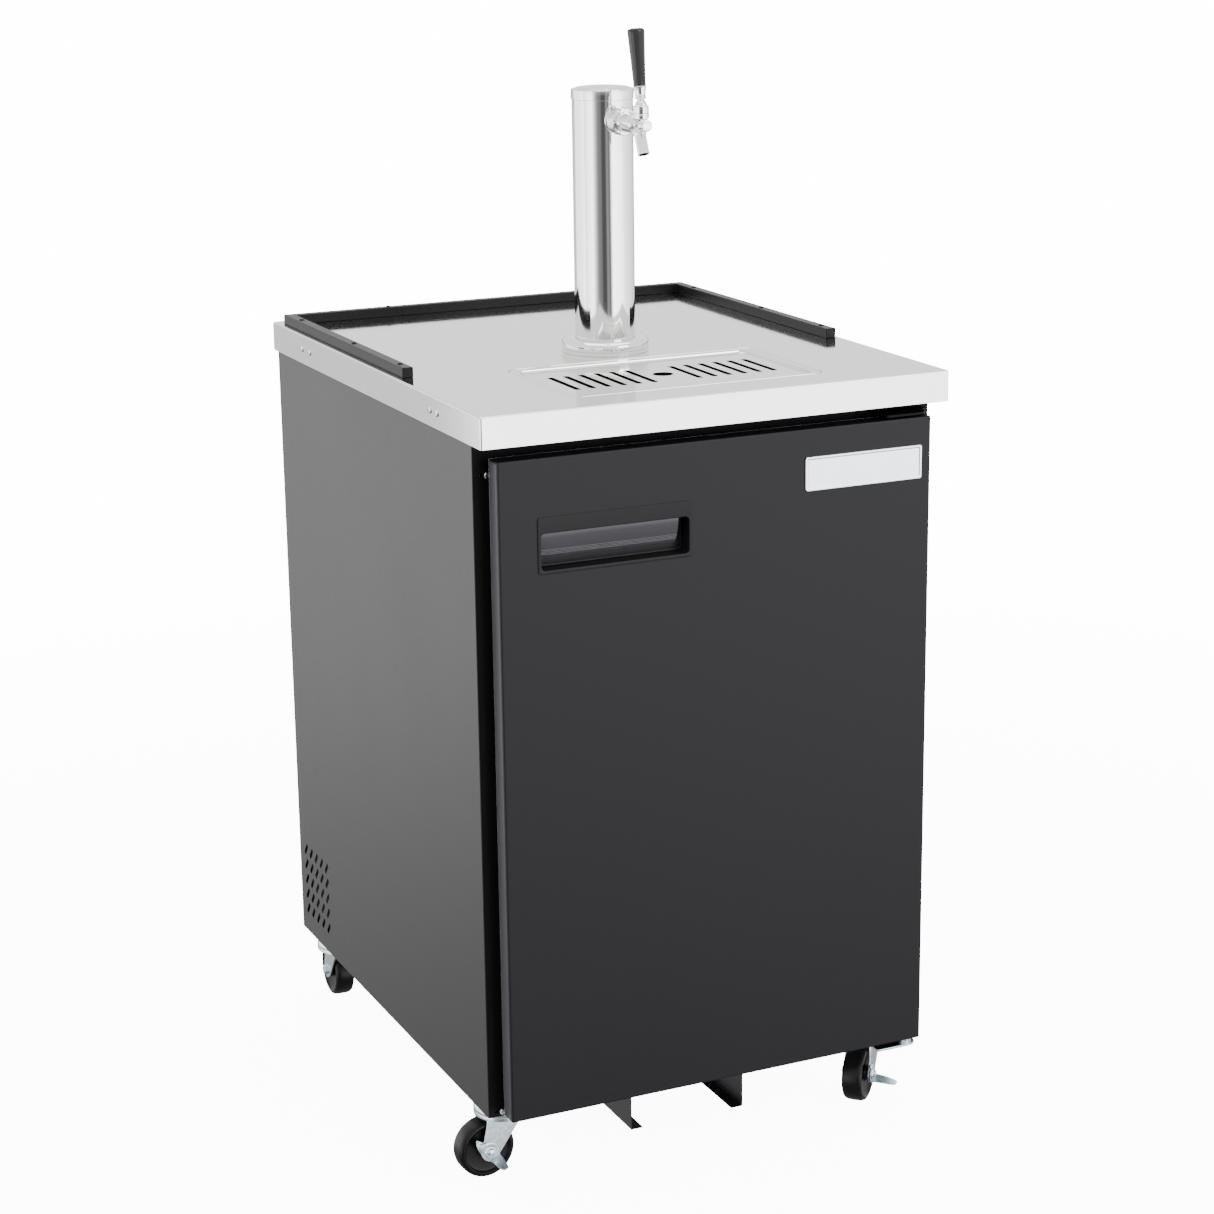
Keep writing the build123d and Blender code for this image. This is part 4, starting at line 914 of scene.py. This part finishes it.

# %% [markdown]
# ## The cabinet's sides
# Each side is one flat coated sheet with its edges rounded over. A field of slanted slots lets
# air into the machine compartment at the back. Behind the slots hangs a dark sheet, painted
# shade, which stops light from the back shining through the slots so that they read dark.

# %% Side panels
LOUVRE_Y, LOUVRE_Z, LOUVRE_PITCH_Y, LOUVRE_PITCH_Z = 296.3, 183.5, 21.7, 22.2
LOUVRE = (20, 6, 90 + 38)  # length, width and lean
SHADE_BACKING_W, SHADE_BACKING_H, SHADE_BACKING_THICK, SHADE_BACKING_BEHIND = 128, 134, 3.0, 9.0
holes = [
    slot_shape(LOUVRE_Y + i * LOUVRE_PITCH_Y, LOUVRE_Z + j * LOUVRE_PITCH_Z, *LOUVRE)
    for i in range(-2, 3) for j in range(-2, 3)
]
shade_backing_outline = corner_round(LOUVRE_Y, LOUVRE_Z, SHADE_BACKING_W, SHADE_BACKING_H, 5)
for side, node in ((-1, "side_panel_left"), (1, "side_panel_right")):
    px0, px1, py0, py1, pz0, pz1 = span(node)
    outer = softened([(py0, pz0), (py1, pz0), (py1, pz1), (py0, pz1)], 1.0)
    panel = cut_sheet(Pattern(), [outer, *holes], px0, px1, "side", 0.5)
    panel.piece(f"{node}_sheet", "cabinet", "cabinet_black", [node])
    # painted shade: a dark sheet behind the slots stands for the shade in the machine compartment
    shade_backing_low = (px0 + px1) / 2 - side * SHADE_BACKING_BEHIND - SHADE_BACKING_THICK / 2
    shade_backing = cut_sheet(Pattern(), [shade_backing_outline], shade_backing_low, shade_backing_low + SHADE_BACKING_THICK, "side", 0.6)
    shade_backing.piece(f"{node}_painted_shade_backing", "cabinet", "black_plastic", [node])

# %% [markdown]
# Four bright screws hold the face of the cabinet, one near each corner. The two on the left show
# beside the closed door.

# %% Face screws
face_heads = Pattern()
face_y = span("front_frame")[2]
FACE_SCREW_X, FACE_SCREWS_Z, BEHIND_HEAD = 282.5, (110.0, 900.0), 1.4
for x in (-FACE_SCREW_X, FACE_SCREW_X):
    for z in FACE_SCREWS_Z:
        screw_head(face_heads, (x, face_y - BEHIND_HEAD, z), FORWARD, 4.0, 2.2, x + z)
face_heads.piece("face_screw_heads", "cabinet", "bright_fasteners", ["panel_screws"])

# %% [markdown]
# ## The door
# The door skin is a coated sheet folded back on all four sides, with an opening for the recessed
# handle. As on the worktop, a stack of loops carries the sheet from its back edge over the bend
# and across the front to the opening.

# %% Door skin
dx0, dx1, door_front, door_back, dz0, dz1 = span("door_skin")
door_w, door_h = dx1 - dx0, dz1 - dz0
door_x, door_z = (dx0 + dx1) / 2, (dz0 + dz1) / 2
hx0, hx1, handle_front, frame_back, hz0, hz1 = span("handle_frame")
handle_x, handle_z, handle_w, handle_h = (hx0 + hx1) / 2, (hz0 + hz1) / 2, hx1 - hx0, hz1 - hz0


def front_loop(cx, cz, width, height, radius, y, steps=6):
    return laid(corner_round(cx, cz, width, height, radius, steps), y, "front")


def loops_round(cx, cz, width, height, table):
    """Loops round a middle: how much wider and higher, the corner radius and the y of each."""
    return [front_loop(cx, cz, width + grow, height + grow, r, y) for grow, r, y in table]


FOLD = 2.0
folded = [(-2.0, 1.2, door_back), (-0.3, 1.6, door_back), (0.0, 1.8, door_back - 0.5)]
folded += [(-2 * inset, 2.0, door_front + drop) for inset, drop in bend(FOLD)]
skin_loops = loops_round(door_x, door_z, door_w, door_h, folded)
opening = [(-6, 2.0, door_front), (-6, 2.0, door_front + 1.0)]
skin_loops += loops_round(handle_x, handle_z, handle_w, handle_h, opening)
Pattern().skin(skin_loops).piece("door_sheet", "door", "door_black", ["door_skin"])

# %% [markdown]
# The long edges of the door are paler than its front, because the light comes from the side.
# A thin grey strip is laid along each edge for that: a painted highlight.

# %% Door edge strips, painted highlight
# painted highlight: paler grey strips stand for the light that falls on the door's long edges
painted_highlight_strips = Pattern()
HIGHLIGHT_STRIP, HIGHLIGHT_STRIP_END = 0.35, 3
for side in (-1, 1):
    outer, inner = door_x + side * (door_w / 2 + HIGHLIGHT_STRIP), door_x + side * (door_w / 2 - 0.6)
    section = [
        (inner, door_front + 2.6), (outer, door_front + 3.0), (outer, door_back - 1.0),
        (inner, door_back - 0.6),
    ]
    cut_sheet(painted_highlight_strips, [softened(section, 0.3)], dz0 + HIGHLIGHT_STRIP_END, dz1 - HIGHLIGHT_STRIP_END, "top", 0.1)
painted_highlight_strips.piece("door_edge_painted_highlight", "door", "grip_grey", ["door_skin"])

# %% [markdown]
# The magnetic gasket is a soft extrusion with a bellows, so its section is a ripple rather than a
# block. It is the dark line all round the closed door.

# %% Gasket
gx0, gx1, gasket_front, gasket_back, gz0, gz1 = span("door_gasket")
deep = gasket_back - gasket_front
GASKET_CORNER = 6
section = [
    (0.6, 0.0), (2.0, 0.0), (18.0, 0.0), (19.4, 0.0), (19.8, 0.16), (18.4, 0.30), (19.6, 0.46),
    (18.4, 0.62), (19.7, 0.8), (19.2, 0.97), (16.0, 1.0), (4.0, 1.0), (0.8, 0.97), (0.3, 0.8),
    (1.6, 0.62), (0.4, 0.46), (1.6, 0.30), (0.2, 0.16),
]
ripple = [
    (-2 * inset, max(GASKET_CORNER - inset, 1), gasket_front + deep * share)
    for inset, share in section
]
gasket_loops = loops_round((gx0 + gx1) / 2, (gz0 + gz1) / 2, gx1 - gx0, gz1 - gz0, ripple)
gasket = Pattern().skin(gasket_loops, ring=True)
gasket.piece("gasket_bellows", "door", "gasket_rubber", ["door_gasket"], sharp=60)

# %% [markdown]
# ## The recessed handle
# A moulded frame stands a hair proud of the door, with a deep pocket behind it. The grip is a
# curved lip that hangs from the top of the pocket, and its lower edge carries three fine ridges
# for the fingertips.

# %% Handle frame and pocket
POCKET_W, POCKET_LOW, POCKET_HIGH = 188.0, 789.0, 832.6
pocket_z, pocket_h = (POCKET_LOW + POCKET_HIGH) / 2, POCKET_HIGH - POCKET_LOW
pocket_back = frame_back - 1.2
frame_loops = loops_round(handle_x, handle_z, handle_w, handle_h, [
    (-0.6, 3.4, door_front + 0.1), (0.0, 3.8, door_front - 0.3), (-0.2, 3.8, handle_front + 0.35),
    (-1.4, 3.4, handle_front),
])
frame_loops += loops_round(handle_x, pocket_z, POCKET_W, pocket_h, [
    (2.4, 5.6, handle_front), (0.8, 5.2, handle_front + 0.4), (0.0, 5.0, handle_front + 1.4),
    (0.0, 5.0, pocket_back - 3.0), (-1.6, 4.6, pocket_back - 0.8), (-5.0, 4.0, pocket_back),
])
handle_frame = Pattern().skin(frame_loops, last=True)
handle_frame.piece("handle_frame_moulding", "door", "pocket_black", ["handle_frame"])

# %% [markdown]
# The grip has one section along its whole length, so it is drawn once from the side: down the
# front with its ridges, round the lower edge, and back up inside.

# %% Curved grip
gripx0, gripx1, grip_front, _, _, grip_high = span("handle_grip")
outer_curve = [
    (0.1, 0.0), (0.1, 6.0), (0.6, 9.4), (1.4, 13.4), (2.6, 17.8), (4.0, 22.0), (5.2, 24.8),
    (5.0, 25.3), (6.0, 26.6), (5.8, 27.1), (6.9, 28.4), (6.7, 28.9), (7.9, 30.2), (7.7, 30.7),
    (9.0, 32.4), (10.2, 34.4), (11.4, 35.4),
]
inner_curve = [
    (12.2, 34.0), (11.4, 31.0), (9.2, 27.6), (6.8, 22.6), (4.8, 16.8), (3.2, 10.0), (2.3, 4.4),
    (2.3, 0.0),
]
grip_outline = [(grip_front + y - 0.1, grip_high - z) for y, z in outer_curve + inner_curve]
grip = cut_sheet(Pattern(), [grip_outline], gripx0, gripx1, "side", 0.15)
grip.piece("grip_moulding", "door", "grip_grey", ["handle_grip"], sharp=28)

# %% [markdown]
# ## The badge
# A small pressed plate with a raised border. It is left blank.

# %% Badge
bx0, bx1, _, badge_back, bz0, bz1 = span("badge")
BADGE_CORNER = 3.0
raised = [
    (0.0, 0.0), (0.0, 1.9), (0.3, 2.3), (0.9, 2.4), (2.4, 2.4), (3.0, 2.2), (3.4, 1.8),
    (3.8, 1.7),
]
steps_in = [
    (-2 * inset, max(BADGE_CORNER - inset, 0.6), badge_back - rise) for inset, rise in raised
]
badge_loops = loops_round((bx0 + bx1) / 2, (bz0 + bz1) / 2, bx1 - bx0, bz1 - bz0, steps_in)
badge = Pattern().skin(badge_loops, first=True, last=True)
badge.piece("badge_plate", "door", "badge_silver", ["badge"])

# %% [markdown]
# ## Hinges and skids
# The brackets are thick plate with a pin, cut from an outline like any flat sheet. The lower one
# is bright and the upper one is coated with the cabinet.

# %% Hinge brackets
hinge_x, hinge_y, HINGE_PLATE = 268.0, -354.0, 3
FOOT = [(222, -367), (262, -367), (274, -365.5), (281, -358), (281, -350), (290, -344)]
upper = span("hinge_bracket_top")[5] - 40.0
arm = softened([(222, face_y), *FOOT, (290, face_y)], 3)
top_hinge = cut_sheet(Pattern(), [arm], upper, upper + HINGE_PLATE, "top", 0.5)
ear = [(200, 0), (294, 0), (294, 26), (270, 40), (206, 40), (200, 34)]
ear = softened([(x, upper + z) for x, z in ear], 3)
cut_sheet(top_hinge, [ear], face_y - 2, face_y, "front", 0.5)
for x in (212, 247, 282):
    screw_head(top_hinge, (x, face_y - 2, upper + 22), FORWARD, 4.5, 2.4, x)
pin = [(0, 2), (6.5, 2), (6.5, -0.4), (4.0, -0.6), (4.0, -14.6), (3.2, -15.6), (0, -16)]
top_hinge.turn(pin, (hinge_x, hinge_y, upper))
top_hinge.piece("upper_hinge_plate", "cabinet", "frame_black", ["hinge_bracket_top"])

lower = span("hinge_bracket_bottom")[4] + 2.2
foot = softened([(222, -308), *FOOT, (290, -308)], 3)
bottom_hinge = cut_sheet(Pattern(), [foot], lower, lower + HINGE_PLATE, "top", 0.5)
for x in (238, 272):
    screw_head(bottom_hinge, (x, -318, lower), (0, 0, -1), 4.5, 2.2, x)
bottom_hinge.turn([
    (0, 1), (8.6, 1), (9.0, 3.4), (9.0, 7.8), (8.6, 8.3), (4.0, 8.4), (4.0, 23.4), (3.2, 24.6),
    (0, 25.0),
], (hinge_x, hinge_y, lower))
bottom_hinge.piece("lower_hinge_plate", "cabinet", "zinc_plate", ["hinge_bracket_bottom"])

# %% [markdown]
# The skids are two light Z-sections folded from sheet under the middle of the cabinet. They stop
# a lifting fork from reaching the casters.

# %% Skids
skid_y0, skid_y1, skid_low, skid_high = span("skids")[2:]
skids, SHEET = Pattern(), 1.5
for side in (-1, 1):
    web = [
        (80, skid_low), (80, skid_high), (63, skid_high), (63, skid_high - SHEET),
        (80 - SHEET, skid_high - SHEET), (80 - SHEET, skid_low + SHEET), (63, skid_low + SHEET),
        (63, skid_low),
    ]
    web = softened([(side * u, v) for u, v in web], 1.2)
    cut_sheet(skids, [web], skid_y0, skid_y1, "front", 0.3)
skids.piece("skid_sections", "cabinet", "cabinet_black", ["skids"])

# %% [markdown]
# ## Casters
# A caster is a stack of pressings: a top plate bolted to the cabinet, a ball race, a fork and a
# wheel on an axle bolt. The fork is one blank folded into a U, so its legs are cut sheets with a
# round eye at the axle and a folded crown between them. The front pair has a stamped lever with
# two ears, one bent outwards for the toe.

# %% Caster layout
PIVOTS = {
    joint["name"][-2:]: Vector(joint["pos_m"]) / MM
    for joint in frame["joints"] if joint["name"].startswith("caster_swivel_")
}
CORNERS = {}
for joint in frame["joints"]:
    if joint["name"].startswith("wheel_spin_"):
        corner, axle = joint["name"][-2:], joint["axis"]
        CORNERS[corner] = (PIVOTS[corner].x, PIVOTS[corner].y, math.atan2(-axle[0], axle[1]))
FRONT = ("fl", "fr")
TRAIL, WHEEL_R, WHEEL_HALF = 26.0, 37.5, 13.5
LEG_IN, LEG_OUT, CROWN = 15.0, 17.5, 78.0
RACE_R, RACE_LOW, SKIRT_LOW = 35.4, 84.5, 80.0
print({c: (round(x), round(y), round(math.degrees(t), 1)) for c, (x, y, t) in CORNERS.items()})


def at_corner(corner):
    """The place and the turn of a caster that was made round the origin, trailing to -x."""
    x, y, turned_by = CORNERS[corner]
    return Matrix.Translation((x, y, 0)) @ Matrix.Rotation(turned_by, 4, "Z")


# %% [markdown]
# The plate has four slotted holes with a hexagon bolt in each. Under it hangs the outer race, a
# deep pressed cup with a bead for the balls, and the kingpin's head closes it from below. The
# plates belong to the cabinet and don't swivel, so all four are one piece.

# %% Top plates and ball races
plates = Pattern()
PLATE_LOW, PLATE_HIGH, BOLT_LOW = 100.2, 103, 96.8
BOLTS = [(dx, dy) for dx in (-28, 28) for dy in (-25, 25)]
BOLT = [(0, 3.4), (6.6, 3.4), (6.6, 2.4), (5.4, 2.2), (5.4, 0.4), (4.6, 0), (0, 0)]
for x, y, _ in CORNERS.values():
    begun = len(plates.points)
    holes = [slot_shape(dx, dy, 11, 8, 0) for dx, dy in BOLTS]
    cut_sheet(plates, [corner_round(0, 0, 72, 66, 6), *holes], PLATE_LOW, PLATE_HIGH, "top", 0.5)
    for dx, dy in BOLTS:
        plates.turn(BOLT, (dx, dy, BOLT_LOW), steps=6)
    plates.turn([
        (0, 100.3), (RACE_R - 4.6, 100.3), (RACE_R - 4.0, 98.0), (RACE_R - 2.4, 94.0),
        (RACE_R - 0.9, 91.6), (RACE_R - 0.1, 89.0), (RACE_R, 86.0), (RACE_R - 0.4, 85.2),
        (RACE_R - 0.4, 84.6), (RACE_R, 83.8), (RACE_R, SKIRT_LOW + 0.5),
        (RACE_R - 0.7, SKIRT_LOW), (RACE_R - 1.4, SKIRT_LOW + 0.5), (RACE_R - 1.4, RACE_LOW),
        (0, RACE_LOW),
    ], steps=128)
    plates.turn([
        (0, CROWN - 3.7), (5.6, CROWN - 3.5), (7.6, CROWN - 2.6), (8.0, CROWN - 1.4),
        (8.0, CROWN - 0.6), (5.0, CROWN - 0.4), (5.0, CROWN + 8), (0, CROWN + 8),
    ], steps=48)
    plates.move(Matrix.Translation((x, y, 0)), begun)
plates.piece("caster_top_plates", "cabinet", "zinc_plate", ["caster_plates"])

# %% [markdown]
# A fork is one blank folded over the wheel. Its legs are cut to an outline that narrows to the
# axle, its crown is a bent strip between them, and a turned dish above the crown is the inner
# race. The axle bolt has a hexagon head on one side, and a nut or the brake's boss on the other.

# %% Forks
EYE_R, AXLE_HOLE_R = 12, 4.2
AXLE = (-TRAIL, 0, WHEEL_R)


def leg_outline():
    """One leg: wide at the crown, tapered, and round about the axle."""
    angles = [math.radians(a) for a in range(176, 316, 10)]
    eye = [(-TRAIL + EYE_R * math.cos(a), WHEEL_R + EYE_R * math.sin(a)) for a in angles]
    sides = [(-TRAIL + 16, WHEEL_R - 3.5), (22, CROWN + 0.5), (22, CROWN + 2.0)]
    return [(-27, CROWN + 2.0), (-TRAIL - 8.5, WHEEL_R + 8.5), *eye, *sides]


axle_hole = circle(AXLE_HOLE_R, 24, -TRAIL, WHEEL_R)
crown = [(LEG_OUT - inset, CROWN + 3 - drop) for inset, drop in bend(3)][::-1]
inner_edge = [(LEG_IN, CROWN), (LEG_IN - 0.5, CROWN), (-LEG_IN + 0.5, CROWN), (-LEG_IN, CROWN)]
crown_outline = [(-y, z) for y, z in reversed(crown)] + crown + inner_edge
inner_race = [
    (0, CROWN + 1), (24.5, CROWN + 2.4), (25.0, CROWN + 3.4), (24.4, CROWN + 4.8),
    (23.0, RACE_LOW - 0.5), (0, RACE_LOW - 0.5),
]
bolt_head = [(0, -2.2), (6.2, -2.2), (7.4, -1.6), (7.4, 1.2), (6.6, 1.8), (0, 1.8)]
axle_bolt = [(0, -LEG_OUT), (4.0, -LEG_OUT), (4.0, LEG_OUT + 3), (0, LEG_OUT + 3)]
nut_end = [(0, 0), (7.0, 0), (7.0, 3.0), (6.0, 4.0), (0, 4.0)]
brake_end = [(0, 3), (4.6, 3), (4.8, 4.4), (4.2, 5.6), (2.4, 6.2), (0, 6.4)]
for corner in CORNERS:
    fork = Pattern()
    for y_low, y_high in ((-LEG_OUT, -LEG_IN), (LEG_IN, LEG_OUT)):
        cut_sheet(fork, [leg_outline(), axle_hole], y_low, y_high, "front", 0.5)
    cut_sheet(fork, [crown_outline], -27, 22, "side", 0.5)
    fork.turn(inner_race, steps=96)
    fork.turn(bolt_head, (-TRAIL, LEG_OUT + 1.8, WHEEL_R), (0, 1, 0), steps=6)
    fork.turn(axle_bolt, AXLE, FORWARD, steps=32)
    end, sides = (brake_end, 48) if corner in FRONT else (nut_end, 6)
    fork.turn(end, (-TRAIL, -LEG_OUT, WHEEL_R), FORWARD, steps=sides)
    fork.move(at_corner(corner))
    node = f"caster_fork_{corner}"
    fork.piece(f"fork_{corner}", node, "zinc_plate", [node])

# %% [markdown]
# A wheel is one moulding with a hub, a thin web and a thick rim, the same on both faces. So half
# of its section is written down, as radius and inset from the face, and mirrored.

# %% Wheels
half_tyre = [
    (4.4, 0.2), (9.0, 0), (9.8, 0.8), (10.6, 3.6), (13.0, 4.2), (26.0, 4.0), (28.8, 3.2),
    (30.2, 1.0), (31.4, 0.2), (33.4, 0.3), (35.2, 1.2), (36.6, 3.2), (37.3, 6.0), (37.5, 11.5),
]
tyre = [(r, -WHEEL_HALF + inset) for r, inset in half_tyre]
tyre += [(r, WHEEL_HALF - inset) for r, inset in reversed(half_tyre)] + tyre[:1]
for corner in CORNERS:
    wheel = Pattern().turn(tyre, AXLE, (0, 1, 0), steps=96).move(at_corner(corner))
    node = f"caster_wheel_{corner}"
    wheel.piece(f"wheel_{corner}", node, "wheel_rubber", [node])

# %% [markdown]
# The brake lever is a stamped S-shape round the axle. Its upper ear is bent a little outwards,
# and from its foot a strip is folded out for the toe, which droops and narrows to its end.

# %% Brake levers
TOE_REACH, TOE_HALF, TOE_DROOP = 32.0, 7.4, 3.2
EAR_FROM, EAR_BEND = 13.0, 0.22


def toe_loops():
    """The folded ear: a strip across the foot of the lever that runs outwards and droops."""
    loops = []
    for i in range(13):
        t = i / 12
        reach = 0.4 + TOE_REACH * t
        droop = TOE_DROOP * t ** 1.6
        half = TOE_HALF * (1 - 0.42 * t ** 2.2) if t < 1 else 3.0
        thick = 1.0 if t < 1 else 0.5
        middle_x, middle_z = 5.6 + 1.2 * t, -8.6 - droop
        lean = math.radians(21 - 6 * t)
        rim = []
        for u, v in corner_round(0, 0, 2 * half, 2 * thick, 0.6, 3):
            v -= 0.02 * (half ** 2 - u ** 2)
            x = middle_x + u * math.cos(lean) - v * math.sin(lean)
            z = middle_z + u * math.sin(lean) + v * math.cos(lean)
            rim.append((x - TRAIL, -LEG_OUT - reach, z + WHEEL_R))
        loops.append(rim)
    return loops


upper_ear = [
    (4.0, 11.6), (-3.0, 13.2), (-9.0, 14.4), (-14.5, 17.4), (-19.0, 21.0), (-20.6, 18.4),
    (-19.6, 12.0), (-16.4, 5.4),
]
back_of_boss = [(-12.2, -1.5), (-10.4, -6.2), (-7.2, -10.0)]
lower_edge = [
    (-1.0, -13.4), (5.0, -13.6), (11.0, -11.0), (13.4, -7.0), (12.6, -2.0), (11.8, 2.0),
    (9.4, 6.8),
]
s_shape = softened([*upper_ear, *back_of_boss, *lower_edge], 2.2, steps=5)
boss = [(4.4, 2.2), (7.4, 2.2), (7.8, 2.9), (7.2, 3.7), (5.6, 3.9), (4.4, 3.6), (4.4, 2.2)]
for corner in FRONT:
    lever_plate = cut_sheet(Pattern(), [s_shape, circle(4.3, 24)], 0.3, 2.3, "front", 0.5)
    bent = []
    for x, y, z in lever_plate.points:
        lift = max(0.0, -x - EAR_FROM) ** 1.4 * EAR_BEND
        bent.append((x - TRAIL, -LEG_OUT - y - lift, z + WHEEL_R))
    lever_plate.points = bent
    lever_plate.skin(toe_loops(), first=True, last=True)
    lever_plate.turn(boss, (-TRAIL, -LEG_OUT, WHEEL_R), FORWARD, steps=48)
    lever_plate.move(at_corner(corner))
    node = f"caster_brake_{corner}"
    lever_plate.piece(f"brake_lever_{corner}", node, "zinc_plate", [node])

# %% [markdown]
# ## The solids that stay
# Inside the cabinet the engineering solids already have the right shape, so they only need their
# finish: mill aluminium in the keg space, enamel on the compressor, moulded fans.

# %% Finish the engineering solids
slots = {part["node"]: part["material_slot"] for part in frame["record"]["subparts"]}
for node, solid in frame["nodes"].items():
    paint = FINISHES[slots[node]].material
    if not solid.data.materials:
        solid.data.materials.append(paint)
    for i in range(len(solid.material_slots)):
        solid.material_slots[i].material = paint
print("finished solids", len(frame["nodes"]))
